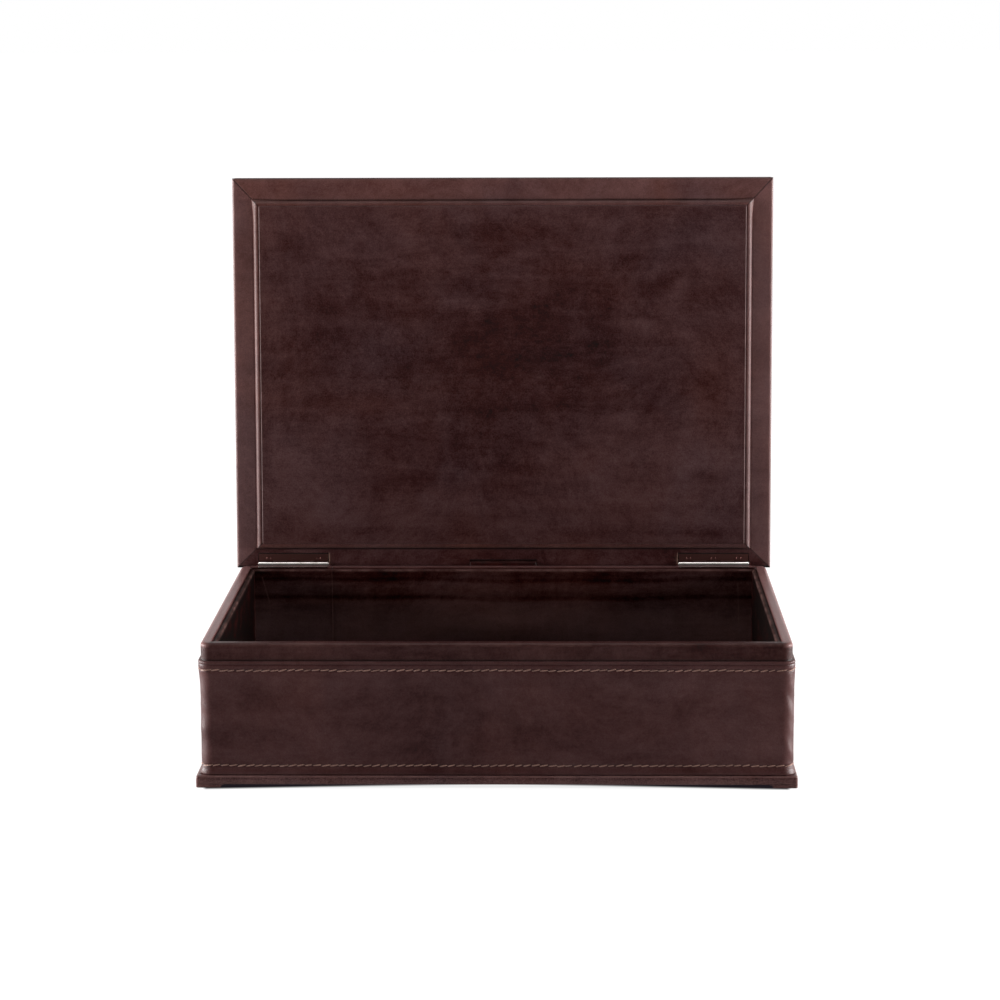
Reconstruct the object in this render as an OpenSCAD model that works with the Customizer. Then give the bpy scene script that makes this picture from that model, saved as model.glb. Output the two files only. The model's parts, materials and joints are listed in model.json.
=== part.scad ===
// Leather-covered stationery box with a hinged lid, shown open against its hinge stops.
// Millimetres. Z is up, the front faces -Y. The walls stand on a plinth with four bracket feet,
// a collar rises above the stitched band, and a raised board under the lid drops into the mouth.

/* [Box body] */
// Width over the leather band, left to right
band_w = 340; // [240:1:440]
// Depth over the leather band, front to back
band_d = 246; // [170:1:330]
// Height of the leather band
band_h = 66.4; // [40:0.2:120]
// How far the band's face draws in at half height
band_bow = 1.3; // [0:0.1:1.8]
// Radius of the band's upright corners
band_corner_r = 7.5; // [6.5:0.1:14]
// Radius of the band's cut edges
band_edge_r = 0.8; // [0.3:0.1:1]
// Height of the collar above the band
collar_h = 10.4; // [8:0.2:20]
// Step from the band's face in to the collar's face
collar_in = 1.5; // [0.8:0.1:3]
// Radius of the collar's top outer edge
collar_edge_r = 2; // [1.2:0.1:2.5]

/* [Plinth and feet] */
// Height of the plinth board
plinth_h = 5; // [3:0.1:12]
// How far the plinth stands out past the band
plinth_out = 2; // [0.5:0.1:6]
// Radius of the plinth's upright corners
plinth_corner_r = 1.5; // [0.5:0.1:5]
// Radius of the plinth's top edge
plinth_edge_r = 1.2; // [0.4:0.1:2.5]
// Height of the bracket feet
foot_h = 2; // [1.6:0.1:8]
// Length of a foot along the plinth, at the floor
foot_w = 14; // [8:0.5:30]
// Thickness of the lining glued under the plinth
under_t = 0.8; // [0.4:0.1:1.2]
// Margin from the plinth's edge to that lining
under_in = 6; // [3:0.5:15]
// Gap from that lining to the feet
under_gap = 0.8; // [0.4:0.1:2]

/* [Walls and lining] */
// Thickness of the wall boards
board_t = 5; // [4.4:0.1:9]
// Thickness of the leather over the rim and the lid
leather_t = 1; // [0.6:0.1:1.1]
// How far the rim leather turns down inside the boards
turn_in_h = 8; // [3:0.5:15]
// Thickness of the bottom board
bottom_t = 4; // [2:0.5:8]
// Thickness of the lined boards inside the walls
liner_t = 3; // [1.6:0.1:6]
// How far the top of those lined boards lies below the rim
liner_drop = 1.4; // [0.6:0.1:3]
// Radius of the lined boards' top inner edge
liner_edge_r = 1.2; // [0.4:0.1:1.5]
// Thickness of the floor lining
floor_t = 1.5; // [0.8:0.1:4]
// Gap round the floor lining
floor_gap = 0.3; // [0.1:0.1:1]

/* [Stitching] */
// Distance from each edge of the band to its row of stitches
stitch_in = 5.1; // [3:0.1:10]
// Width of the stitching thread
thread_d = 0.8; // [0.4:0.1:1.2]
// Depth of the crease that the thread lies in
crease_d = 0.4; // [0.2:0.05:0.6]
// How far the thread stands proud of the band
thread_out = 0.2; // [0.1:0.05:0.4]

/* [Lid] */
// Overall thickness of the lid, without the raised board
lid_t = 12; // [8:0.5:25]
// Gap between the rim and the closed lid
lid_gap = 0.4; // [0.2:0.1:0.6]
// How far the lid stands out past the band at the front
lid_over_front = 2.8; // [1:0.1:6]
// How far the lid stands out past the band at each side
lid_over_side = 2; // [0.5:0.1:6]
// How far the lid stands out past the band at the back
lid_over_rear = 1.6; // [1:0.1:3]
// Radius of the lid's upright corners
lid_corner_r = 1.5; // [0.5:0.1:4]
// Radius of the lid's top edge
lid_edge_r = 1.5; // [0.5:0.1:3]
// How far the raised board stands below the lid's margin
raised_h = 3.4; // [2:0.1:8]
// Gap from the raised board to the mouth, on every side
raised_gap = 0.4; // [0.3:0.1:2]
// Radius of the raised board's edge
raised_edge_r = 3; // [1:0.1:3.4]
// Margin of the raised board left bare round the leather panel
panel_in = 3.7; // [3:0.1:12]
// Thickness of the leather panel
panel_t = 0.8; // [0.4:0.1:1.2]
// Radius of the leather panel's edge
panel_edge_r = 0.4; // [0.1:0.1:0.4]
// Angle at which the open lid rests on its stops
open_angle = 92; // [90:1:110]

/* [Hinges] */
// Length of each hinge over its pin heads
hinge_l = 45.4; // [30:0.2:70]
// Distance from the mouth's corner to the hinge's outer end
hinge_from_corner = 1.4; // [0.5:0.1:30]
// How far the hinge axis lies inside the band's back face
axis_in = 0.6; // [0.4:0.1:1]
// Radius of the hinge barrel
barrel_r = 2.3; // [2.1:0.1:2.4]
// Clearance round the barrel
barrel_gap = 0.3; // [0.2:0.05:0.4]
// Thickness of a hinge leaf
leaf_t = 1.2; // [0.8:0.1:1.3]
// How far the lid's leather is cut back from the leaf
cut_back = 0.7; // [0.2:0.1:1.5]
// Number of knuckles
knuckle_n = 5; // [3:2:7]
// Gap between knuckles
knuckle_gap = 0.15; // [0.05:0.05:0.3]
// Radius of the hinge pin
pin_r = 1.1; // [0.8:0.1:1.3]
// Running clearance of the pin in the knuckles
pin_gap = 0.05; // [0.02:0.01:0.09]
// Thickness of a pin head
pin_head_t = 0.4; // [0.2:0.1:1]
// Radius of a pin head
pin_head_r = 1.8; // [1.4:0.1:2]
// Distance between screws along a leaf
screw_pitch = 16; // [8:0.5:22]
// Radius of a screw's head
screw_head_r = 1.4; // [1.2:0.1:1.5]
// Radius of a screw's shank
screw_r = 0.8; // [0.5:0.1:0.9]
// Length of a screw
screw_l = 7; // [4:0.5:7.5]

/* [Stop pad] */
// Width of the leather pad between the hinges
pad_w = 42.6; // [20:0.2:90]
// Thickness of the pad
pad_t = 3; // [2:0.1:3]
// Height of the pad's lower end above the band
pad_foot = 2; // [0.5:0.5:4]
// How far the pad stands above the rim
pad_up = 2.3; // [1.8:0.1:2.3]
// Gap round the pad in the lid's notch
pad_gap = 0.4; // [0.3:0.05:0.6]

/* [Hidden] */
$fn = 64;
touch = 0.01;
far = 2 * (band_w + band_d + lid_t);
slot_w = 0.4;
slot_d = 0.35;
screw_fit = 0.04;
bow_flat = 8;
bow_steps = 12;
edge_steps = 4;

leather_c = [0.24, 0.13, 0.12];
lining_c = [0.17, 0.09, 0.09];
thread_c = [0.66, 0.5, 0.33];
board_c = [0.62, 0.49, 0.36];
metal_c = [0.8, 0.78, 0.72];

// Levels from the floor up
plinth_z = foot_h;
wall_z = plinth_z + plinth_h;
band_top_z = wall_z + band_h;
rim_z = band_top_z + collar_h;
bottom_top_z = wall_z + bottom_t;
liner_top_z = rim_z - liner_drop;

// Outlines, from the outside in
plinth_w = band_w + 2 * plinth_out;
plinth_d = band_d + 2 * plinth_out;
band_t = collar_in + leather_t;
collar_w = band_w - 2 * collar_in;
collar_d = band_d - 2 * collar_in;
collar_r = band_corner_r - collar_in;
core_w = band_w - 2 * band_t;
core_d = band_d - 2 * band_t;
core_r = band_corner_r - band_t;
core_edge_r = collar_edge_r - leather_t;
room_w = core_w - 2 * board_t;
room_d = core_d - 2 * board_t;
mouth_w = room_w - 2 * liner_t;
mouth_d = room_d - 2 * liner_t;

// Lid, measured closed
lid_z = rim_z + lid_gap;
lid_w = band_w + 2 * lid_over_side;
lid_d = band_d + lid_over_front + lid_over_rear;
lid_y = (lid_over_rear - lid_over_front) / 2;
lid_core_z = lid_z + leather_t;
lid_core_t = lid_t - 2 * leather_t;
raised_w = mouth_w - 2 * raised_gap;
raised_d = mouth_d - 2 * raised_gap;
raised_t = raised_h + leather_t;
panel_w = raised_w - 2 * panel_in;
panel_d = raised_d - 2 * panel_in;
margin_gap = 0.2;
raised_in = max(lid_w - raised_w, lid_d - raised_d) / 2 + lid_over_front;

// Hinges: the axis lies midway between the rim and the closed lid
axis_y = band_d / 2 - axis_in;
axis_z = rim_z + lid_gap / 2;
leaf_w = axis_y - room_d / 2;
knuckles_l = hinge_l - 2 * pin_head_t;
knuckle_pitch = knuckles_l / knuckle_n;
hinge_x = mouth_w / 2 - hinge_from_corner - hinge_l / 2;
barrel_room_r = barrel_r + barrel_gap;
plate_w = leaf_w - barrel_room_r;
screw_y = -barrel_room_r - (plate_w - leather_t) / 2;

// Stop pad, and the notch that clears it while the lid turns
pad_round_r = pad_t / 2;
pad_y = collar_d / 2;
pad_z = band_top_z + pad_foot;
pad_mid_y = pad_y + pad_round_r;
pad_mid_z = rim_z + pad_up - pad_round_r;
pad_reach = norm([pad_mid_y - axis_y, pad_mid_z - axis_z]) + pad_round_r;
notch_r = pad_reach + pad_gap;

// The origin lies under the middle of the whole open box
tilt = open_angle - 90;
top_from_axis = lid_z + lid_t - axis_z;
front_from_axis = axis_y + band_d / 2 + lid_over_front;
rear_reach = axis_y + (front_from_axis - lid_edge_r) * sin(tilt)
    + (top_from_axis - lid_edge_r) * cos(tilt) + lid_edge_r;
origin_y = (rear_reach - plinth_d / 2) / 2;

// Rectangle with round corners, about the origin
module rounded(w, d, r) {
    square([w - 2 * r, d], center = true);
    square([w, d - 2 * r], center = true);
    for (x = [-1, 1], y = [-1, 1])
        translate([x * (w / 2 - r), y * (d / 2 - r)])
            circle(r);
}

// Upright section, wide w, from bottom to top, its lower and upper corners eased
module eased_section(w, bottom, top, low_r, high_r) {
    intersection() {
        translate([-w / 2, bottom]) square([w, top - bottom]);
        union() {
            translate([-w / 2, bottom + low_r]) square([w, top - high_r - bottom - low_r]);
            if (low_r > 0) eased_strip(w, bottom, bottom + low_r, low_r);
            if (high_r > 0) eased_strip(w, top - high_r, top - high_r, high_r);
        }
    }
}

// The strip of a section beside its eased corners; start is its lower side, mid_z the arcs' centres
module eased_strip(w, start, mid_z, r) {
    translate([-w / 2 + r, start]) square([w - 2 * r, r]);
    for (x = [-1, 1]) translate([x * (w / 2 - r), mid_z]) circle(r);
}

// Flat block whose eased edges meet in a mitre at each corner
module mitred_block(w, d, bottom, top, corner, low_r, high_r) {
    intersection() {
        translate([0, 0, bottom]) linear_extrude(top - bottom) rounded(w, d, corner);
        translate([0, d, 0]) rotate([90, 0, 0]) linear_extrude(2 * d)
            eased_section(w, bottom, top, low_r, high_r);
        translate([-w, 0, 0]) rotate([90, 0, 90]) linear_extrude(2 * w)
            eased_section(d, bottom, top, low_r, high_r);
    }
}

// Block with round upright corners and a round top edge that runs smoothly round them
module smooth_block(w, d, bottom, top, corner, edge) {
    translate([0, 0, bottom]) linear_extrude(top - edge - bottom) rounded(w, d, corner);
    translate([0, 0, bottom]) linear_extrude(top - bottom) rounded(w - 2 * edge, d - 2 * edge, corner - edge);
    for (turn = [0 : 3]) {
        run = turn % 2 == 0 ? w : d;
        off = turn % 2 == 0 ? d : w;
        rotate(90 * turn) translate([0, 0, top - edge]) {
            translate([-(run / 2 - corner), off / 2 - edge, 0]) rotate([0, 90, 0])
                cylinder(h = run - 2 * corner, r = edge);
            translate([run / 2 - corner, off / 2 - corner, 0]) rotate_extrude(angle = 90)
                translate([corner - edge, 0]) circle(edge);
        }
    }
}

// Carries a section round a rectangle w by d with corners of radius r, outwards from it
module carried_round(w, d, r) {
    for (turn = [0 : 3]) {
        run = turn % 2 == 0 ? w : d;
        off = turn % 2 == 0 ? d : w;
        rotate(90 * turn) {
            translate([-(run / 2 - r), off / 2, 0]) rotate([90, 0, 90]) linear_extrude(run - 2 * r) children();
            translate([run / 2 - r, off / 2 - r, 0]) rotate_extrude(angle = 90) translate([r, 0]) children();
        }
    }
}

// Box of the size given, centred on x and y, standing on z
module centred(size, z) {
    translate([-size[0] / 2, -size[1] / 2, z]) cube(size);
}

// Moves every piece so that the origin lies under the middle of the open box
module placed() {
    translate([0, -origin_y, 0]) children();
}

// The same for the pieces of the lid, which are drawn closed
module placed_open() {
    placed() translate([0, axis_y, axis_z]) rotate([-open_angle, 0, 0])
        translate([0, -axis_y, -axis_z]) children();
}

// Puts a shape at the left (-1) or right (1) hinge, its axis along X
module at_hinge(side) {
    translate([side * hinge_x, axis_y, axis_z]) children();
}

module plinth() {
    color(leather_c) placed()
        mitred_block(plinth_w, plinth_d, plinth_z, wall_z, plinth_corner_r, 0, plinth_edge_r);
}

// One foot, with a hollow curve on its two inner faces; side_x and side_y pick the corner
module foot(side_x, side_y) {
    length = foot_w + foot_h;
    color(leather_c) placed() mirror([side_x > 0 ? 1 : 0, 0, 0]) mirror([0, side_y > 0 ? 1 : 0, 0])
        intersection() {
            linear_extrude(foot_h) rounded(plinth_w, plinth_d, plinth_corner_r);
            translate([-plinth_w / 2, -plinth_d / 2, 0]) difference() {
                cube([length, length, foot_h]);
                translate([length, -touch, 0]) rotate([-90, 0, 0]) cylinder(h = far, r = foot_h);
                translate([-touch, length, 0]) rotate([0, 90, 0]) cylinder(h = far, r = foot_h);
            }
        }
}

module front_left_foot() { foot(-1, -1); }
module front_right_foot() { foot(1, -1); }
module rear_left_foot() { foot(-1, 1); }
module rear_right_foot() { foot(1, 1); }

// Thin lining under the plinth, cut square round the feet
module underside_lining() {
    span_w = plinth_w - 2 * under_in;
    span_d = plinth_d - 2 * under_in;
    foot_room = 2 * (foot_w + foot_h + under_gap);
    color(lining_c) placed() translate([0, 0, plinth_z - under_t]) linear_extrude(under_t)
        union() {
            square([span_w, plinth_d - foot_room], center = true);
            square([plinth_w - foot_room, span_d], center = true);
        }
}

module bottom_board() {
    color(board_c) placed() centred([room_w, room_d, bottom_t], wall_z);
}

// The four wall boards as one shape, rebated inside the top for the rim leather
module wall_ring() {
    difference() {
        smooth_block(core_w, core_d, wall_z, rim_z - leather_t, core_r, core_edge_r);
        centred([room_w, room_d, far], wall_z - touch);
        centred([room_w + 2 * leather_t, room_d + 2 * leather_t, far], rim_z - turn_in_h);
    }
}

// A front or rear board runs the full width of the box
module cross_board(side) {
    intersection() {
        wall_ring();
        translate([0, side * (room_d + board_t) / 2, 0]) centred([core_w + 1, board_t, far], 0);
    }
}

// A side board fits between the front and rear boards
module side_board(side) {
    color(board_c) placed() intersection() {
        wall_ring();
        translate([side * (room_w + board_t) / 2, 0, 0]) centred([board_t + touch, room_d, far], 0);
    }
}

module front_board() { color(board_c) placed() cross_board(-1); }

module rear_board() {
    color(board_c) placed() difference() {
        cross_board(1);
        for (side = [-1, 1]) at_hinge(side) {
            hinge_room(0);
            screw_holes();
        }
    }
}

module left_board() { side_board(-1); }
module right_board() { side_board(1); }

// Points of the band's face: it draws in by a cosine between the two stitched edges
function bow_points() = [
    for (i = [0 : bow_steps])
        let (t = i / bow_steps)
        [band_t - band_bow * (1 - cos(360 * t)) / 2, wall_z + bow_flat + t * (band_h - 2 * bow_flat)]
];

// Quarter circle from one angle, about a centre
function quarter(centre, r, from) = [
    for (i = [0 : edge_steps])
        let (a = from + 90 * i / edge_steps)
        centre + r * [cos(a), sin(a)]
];

// A crease across the band's face at height z, for the thread
function crease_points(z) = let (half = thread_d / 2 + touch) [
    [band_t, z - half], [band_t - crease_d, z - half], [band_t - crease_d, z + half], [band_t, z + half]
];

upper_row_z = band_top_z - stitch_in;
lower_row_z = wall_z + stitch_in;

module band_section() {
    polygon(concat(
        [[0, wall_z]],
        quarter([band_t - band_edge_r, wall_z + band_edge_r], band_edge_r, -90),
        crease_points(lower_row_z),
        bow_points(),
        crease_points(upper_row_z),
        quarter([band_t - band_edge_r, band_top_z - band_edge_r], band_edge_r, 0),
        [[0, band_top_z]]
    ));
}

module leather_band() {
    color(leather_c) placed() carried_round(core_w, core_d, core_r) band_section();
}

// The thread of one row of stitches, lying in its crease
module stitch_row(z) {
    color(thread_c) placed() carried_round(core_w, core_d, core_r)
        translate([band_t - crease_d, z - thread_d / 2]) square([crease_d + thread_out, thread_d]);
}

module upper_stitching() { stitch_row(upper_row_z); }
module lower_stitching() { stitch_row(lower_row_z); }

// Leather over the collar's face and top, turned down inside the boards
module rim_leather() {
    color(leather_c) placed() difference() {
        smooth_block(collar_w, collar_d, band_top_z, rim_z, collar_r, collar_edge_r);
        difference() {
            smooth_block(core_w, core_d, 0, rim_z - leather_t, core_r, core_edge_r);
            centred([room_w + 2 * leather_t, room_d + 2 * leather_t, far], rim_z - turn_in_h);
        }
        centred([room_w, room_d, far], 0);
        for (side = [-1, 1]) at_hinge(side) hinge_room(0);
    }
}

// A lined board of length l against a wall; its top inner edge is rounded
module liner(l) {
    translate([-l / 2, 0, 0]) rotate([90, 0, 90]) linear_extrude(l) {
        translate([-liner_t, bottom_top_z])
            square([liner_t, liner_top_z - liner_edge_r - bottom_top_z]);
        translate([-liner_t + liner_edge_r, liner_top_z - liner_edge_r])
            square([liner_t - liner_edge_r, liner_edge_r]);
        intersection() {
            translate([-liner_t + liner_edge_r, liner_top_z - liner_edge_r]) circle(liner_edge_r);
            translate([-liner_t, liner_top_z - liner_edge_r]) square(liner_t);
        }
    }
}

module rear_liner() {
    color(leather_c) placed() translate([0, room_d / 2, 0]) liner(room_w);
}

module front_liner() {
    color(leather_c) placed() rotate(180) translate([0, room_d / 2, 0]) liner(room_w);
}

module left_liner() {
    color(leather_c) placed() rotate(90) translate([0, room_w / 2, 0]) liner(mouth_d);
}

module right_liner() {
    color(leather_c) placed() rotate(-90) translate([0, room_w / 2, 0]) liner(mouth_d);
}

module floor_lining() {
    color(lining_c) placed()
        centred([mouth_w - 2 * floor_gap, mouth_d - 2 * floor_gap, floor_t], bottom_top_z);
}

// Leather pad on the back of the collar, round on top
module stop_pad() {
    color(leather_c) placed() {
        translate([-pad_w / 2, pad_y, pad_z]) cube([pad_w, pad_t, pad_mid_z - pad_z]);
        translate([-pad_w / 2, pad_mid_y, pad_mid_z]) rotate([0, 90, 0]) cylinder(h = pad_w, r = pad_round_r);
    }
}

// Start of knuckle k along the hinge
function knuckle_x(k) = -knuckles_l / 2 + k * knuckle_pitch + knuckle_gap / 2;

// Room in the boards and the leather for both leaves and the barrel; margin widens the leaf's place
module hinge_room(margin) {
    leaf_room_l = knuckles_l + 2 * margin;
    depth = lid_gap / 2 + leaf_t;
    translate([-leaf_room_l / 2, -leaf_w - margin, -depth]) cube([leaf_room_l, leaf_w + margin, 2 * depth]);
    translate([-hinge_l / 2 - barrel_gap, 0, 0]) rotate([0, 90, 0])
        cylinder(h = hinge_l + 2 * barrel_gap, r = barrel_room_r);
}

// Pilot holes, down from the hinge axis
module screw_holes() {
    for (i = [-1 : 1])
        translate([i * screw_pitch, screw_y, -lid_gap / 2 - screw_l - screw_fit])
            cylinder(h = screw_l, r = screw_r + screw_fit);
}

// A screw's outline, grown by fit; its head is level with z = 0
module screw_body(fit) {
    head_h = screw_head_r - screw_r;
    tip_h = 2 * screw_r;
    rotate_extrude() polygon([
        [0, 0], [screw_head_r + fit, 0], [screw_r + fit, -head_h], [screw_r + fit, tip_h - screw_l], [0, -screw_l]
    ]);
}

module screw() {
    difference() {
        screw_body(0);
        translate([-screw_head_r, -slot_w / 2, -slot_d]) cube([2 * screw_head_r, slot_w, 2 * slot_d]);
    }
}

// A leaf with its plate below the axis and every second knuckle, from number first
module leaf(first) {
    last = knuckle_n - 1;
    difference() {
        union() {
            translate([-knuckles_l / 2, -leaf_w, -lid_gap / 2 - leaf_t]) cube([knuckles_l, plate_w, leaf_t]);
            for (k = [first : 2 : last]) translate([knuckle_x(k), 0, 0]) {
                translate([0, -barrel_room_r - touch, -lid_gap / 2 - leaf_t])
                    cube([knuckle_pitch - knuckle_gap, barrel_room_r + touch, leaf_t]);
                rotate([0, 90, 0]) cylinder(h = knuckle_pitch - knuckle_gap, r = barrel_r);
            }
        }
        translate([-hinge_l, 0, 0]) rotate([0, 90, 0]) cylinder(h = 2 * hinge_l, r = pin_r + pin_gap);
        for (i = [-1 : 1]) translate([i * screw_pitch, screw_y, -lid_gap / 2]) screw_body(screw_fit);
    }
}

module pin() {
    for (side = [0, 1]) mirror([side, 0, 0]) translate([knuckles_l / 2, 0, 0]) rotate([0, 90, 0])
        cylinder(h = pin_head_t, r = pin_head_r);
    translate([-knuckles_l / 2, 0, 0]) rotate([0, 90, 0]) cylinder(h = knuckles_l, r = pin_r);
}

module leaf_screws() {
    for (side = [-1, 1], i = [-1 : 1])
        at_hinge(side) translate([i * screw_pitch, screw_y, -lid_gap / 2]) screw();
}

// Turns a shape about the hinge axis' own level, from the box's side to the lid's
module lid_side() {
    translate([0, 0, axis_z]) mirror([0, 0, 1]) translate([0, 0, -axis_z]) children();
}

module left_hinge_box_leaf() { color(metal_c) placed() at_hinge(-1) leaf(0); }
module right_hinge_box_leaf() { color(metal_c) placed() at_hinge(1) leaf(0); }
module left_hinge_pin() { color(metal_c) placed() at_hinge(-1) pin(); }
module right_hinge_pin() { color(metal_c) placed() at_hinge(1) pin(); }
module box_hinge_screws() { color(metal_c) placed() leaf_screws(); }
module left_hinge_lid_leaf() { color(metal_c) placed_open() lid_side() at_hinge(-1) leaf(1); }
module right_hinge_lid_leaf() { color(metal_c) placed_open() lid_side() at_hinge(1) leaf(1); }
module lid_hinge_screws() { color(metal_c) placed_open() lid_side() leaf_screws(); }

// The closed lid's whole outline, eased all round
module lid_slab() {
    translate([0, lid_y, 0])
        mitred_block(lid_w, lid_d, lid_z, lid_z + lid_t, lid_corner_r, leather_t, lid_edge_r);
}

// What the hinges and the stop pad take out of the closed lid
module lid_cuts(margin) {
    for (side = [-1, 1]) at_hinge(side) hinge_room(margin);
    translate([-pad_w / 2 - pad_gap, axis_y - notch_r, lid_z - 1])
        cube([pad_w + 2 * pad_gap, far, axis_z + notch_r - lid_z + 1]);
}

module lid_board() {
    color(board_c) placed_open() difference() {
        translate([0, lid_y, 0]) centred([lid_w - 2 * leather_t, lid_d - 2 * leather_t, lid_core_t], lid_core_z);
        lid_cuts(0);
        lid_side() for (side = [-1, 1]) at_hinge(side) screw_holes();
    }
}

// Leather over the lid's top and edges
module lid_cover() {
    color(leather_c) placed_open() difference() {
        lid_slab();
        translate([0, lid_y, 0])
            centred([lid_w - 2 * leather_t, lid_d - 2 * leather_t, lid_core_z - lid_z + lid_core_t], lid_z);
        translate([0, lid_y, 0]) centred([lid_w + 1, lid_d + 1, leather_t + 1], lid_z - 1);
        lid_cuts(0);
    }
}

// One of four mitred strips of leather under the lid; turn counts quarter turns from the back
module margin_strip(turn) {
    reach = turn % 2 == 0 ? lid_d / 2 : lid_w / 2;
    color(leather_c) placed_open() difference() {
        intersection() {
            lid_slab();
            translate([0, lid_y, 0]) centred([lid_w + 1, lid_d + 1, leather_t], lid_z);
            translate([0, lid_y, lid_z]) linear_extrude(leather_t) mitre(turn);
        }
        centred([raised_w + 2 * margin_gap, raised_d + 2 * margin_gap, far], lid_z - 1);
        lid_cuts(cut_back);
    }
}

// A wedge that takes one side of the lid's outline, cut at 45 degrees from each corner
module mitre(turn) {
    deep = raised_in + leather_t;
    run = (turn % 2 == 0 ? lid_w : lid_d) / 2;
    off = (turn % 2 == 0 ? lid_d : lid_w) / 2;
    rotate(90 * turn) polygon([[-run, off], [-run + deep, off - deep], [run - deep, off - deep], [run, off]]);
}

module lid_rear_margin() { margin_strip(0); }
module lid_left_margin() { margin_strip(1); }
module lid_front_margin() { margin_strip(2); }
module lid_right_margin() { margin_strip(3); }

// Board that drops into the mouth
module lid_raised_board() {
    color(leather_c) placed_open()
        mitred_block(raised_w, raised_d, lid_core_z - raised_t, lid_core_z, lid_corner_r, raised_edge_r, 0);
}

module lid_panel() {
    panel_z = lid_core_z - raised_t - panel_t;
    color(leather_c) placed_open()
        mitred_block(panel_w, panel_d, panel_z, panel_z + panel_t, lid_corner_r, panel_edge_r, 0);
}

plinth();
front_left_foot();
front_right_foot();
rear_left_foot();
rear_right_foot();
underside_lining();
bottom_board();
front_board();
rear_board();
left_board();
right_board();
leather_band();
upper_stitching();
lower_stitching();
rim_leather();
front_liner();
rear_liner();
left_liner();
right_liner();
floor_lining();
stop_pad();
left_hinge_box_leaf();
right_hinge_box_leaf();
left_hinge_pin();
right_hinge_pin();
box_hinge_screws();
lid_board();
lid_cover();
lid_front_margin();
lid_rear_margin();
lid_left_margin();
lid_right_margin();
lid_raised_board();
lid_panel();
left_hinge_lid_leaf();
right_hinge_lid_leaf();
lid_hinge_screws();
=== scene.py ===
import json
import math
import bmesh
import bpy
import numpy as np
from mathutils import Matrix, Vector


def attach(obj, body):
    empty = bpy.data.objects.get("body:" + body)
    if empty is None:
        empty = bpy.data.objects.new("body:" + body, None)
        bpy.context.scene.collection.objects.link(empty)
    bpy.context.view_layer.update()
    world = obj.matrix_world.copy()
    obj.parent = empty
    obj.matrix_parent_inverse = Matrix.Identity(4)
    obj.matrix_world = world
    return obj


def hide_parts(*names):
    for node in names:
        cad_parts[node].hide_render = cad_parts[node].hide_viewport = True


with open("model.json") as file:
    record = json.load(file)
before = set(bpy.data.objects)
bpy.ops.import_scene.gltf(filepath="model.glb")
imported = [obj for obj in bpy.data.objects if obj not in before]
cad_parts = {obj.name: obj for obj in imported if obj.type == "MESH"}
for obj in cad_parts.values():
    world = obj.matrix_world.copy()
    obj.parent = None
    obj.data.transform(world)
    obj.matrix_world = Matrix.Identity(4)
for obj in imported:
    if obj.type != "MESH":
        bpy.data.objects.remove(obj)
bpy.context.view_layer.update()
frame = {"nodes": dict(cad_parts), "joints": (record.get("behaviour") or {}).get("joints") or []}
print("frame loaded:", len(frame["nodes"]), "nodes")

# Lengths are millimetres in the box's own axes: x right, y back, z up, the middle of the box at x = y = 0.
sizes = dict(
    coreWidth=335.0, coreDepth=241.0, coreRadius=5.0,
    wallFoot=7.0, bandTop=73.4, rimTop=83.8,
    roomWidth=325.0, roomDepth=231.0,
    mouthWidth=319.0, mouthDepth=225.0,
    plinthWidth=344.0, plinthDepth=250.0,
    floorTop=11.0, linerTop=82.4,
    lidWidth=344.0, lidDepth=250.4, lidMiddle=-0.6, lidFace=84.2, lidTop=96.2,
    raisedWidth=318.2, raisedDepth=224.2, raisedFace=80.8,
    panelWidth=310.8, panelDepth=216.8, panelFace=80.0,
    hingeX=135.4, hingeAxis=(122.4, 84.0),
)
hinge = frame["joints"][0]
openAngle = math.radians(hinge["range_deg"][1])
originY = sizes["hingeAxis"][0] - hinge["pos_m"][1] * 1000


def placed(points):
    # Box axes to the frame: y less the origin's offset, millimetres to metres.
    p = np.array(points, float)
    p[..., 1] -= originY
    return p * 0.001


def opened(points):
    # Turns points drawn closed about the hinge axis by the open angle, then places them.
    p = np.array(points, float)
    y = p[..., 1] - sizes["hingeAxis"][0]
    z = p[..., 2] - sizes["hingeAxis"][1]
    c, s = math.cos(openAngle), math.sin(openAngle)
    p[..., 1] = sizes["hingeAxis"][0] + y * c + z * s
    p[..., 2] = sizes["hingeAxis"][1] - y * s + z * c
    return placed(p)


def smoothStep(low, high, x):
    # 3t^2 - 2t^3, where t is x's place between low and high, held to 0..1.
    t = clip01((x - low) / (high - low))
    return t * t * (3 - 2 * t)


def clip01(x):
    # x held to 0..1.
    return np.clip(x, 0, 1)


def bothSides(values):
    # Each value and its mirror.
    return [side * value for side in (-1, 1) for value in values]


def bump(x, middle, width):
    # Bell curve, 1 at the middle, that falls to 1/e at width.
    return np.exp(-((x - middle) / width) ** 2)


def ripple(x, *waves):
    # Sum of sines; each wave is (height, length, phase).
    return sum(h * np.sin(2 * math.pi * x / length + phase) for h, length, phase in waves)


def marks(across, up, spots):
    # Sum of soft spots; each is (across, up, half length, half width, slope in degrees, strength).
    total = np.zeros(np.broadcast(across, up).shape)
    for x, y, a, b, slope, strength in spots:
        c, s = math.cos(math.radians(slope)), math.sin(math.radians(slope))
        u = ((across - x) * c + (up - y) * s) / a
        v = ((up - y) * c - (across - x) * s) / b
        total = total + strength * np.exp(-(u * u + v * v) ** 1.5)
    return total


# Camera and studio.

cameraView = dict(
    place=(0.0351, -1.8720, 0.4521), yaw=-1.07, pitch=9.32, roll=-0.20, lens=112.72, sensor=36.0,
)


def addObject(name, data):
    # A new object, linked to the scene.
    made = bpy.data.objects.new(name, data)
    bpy.context.scene.collection.objects.link(made)
    return made


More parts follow.
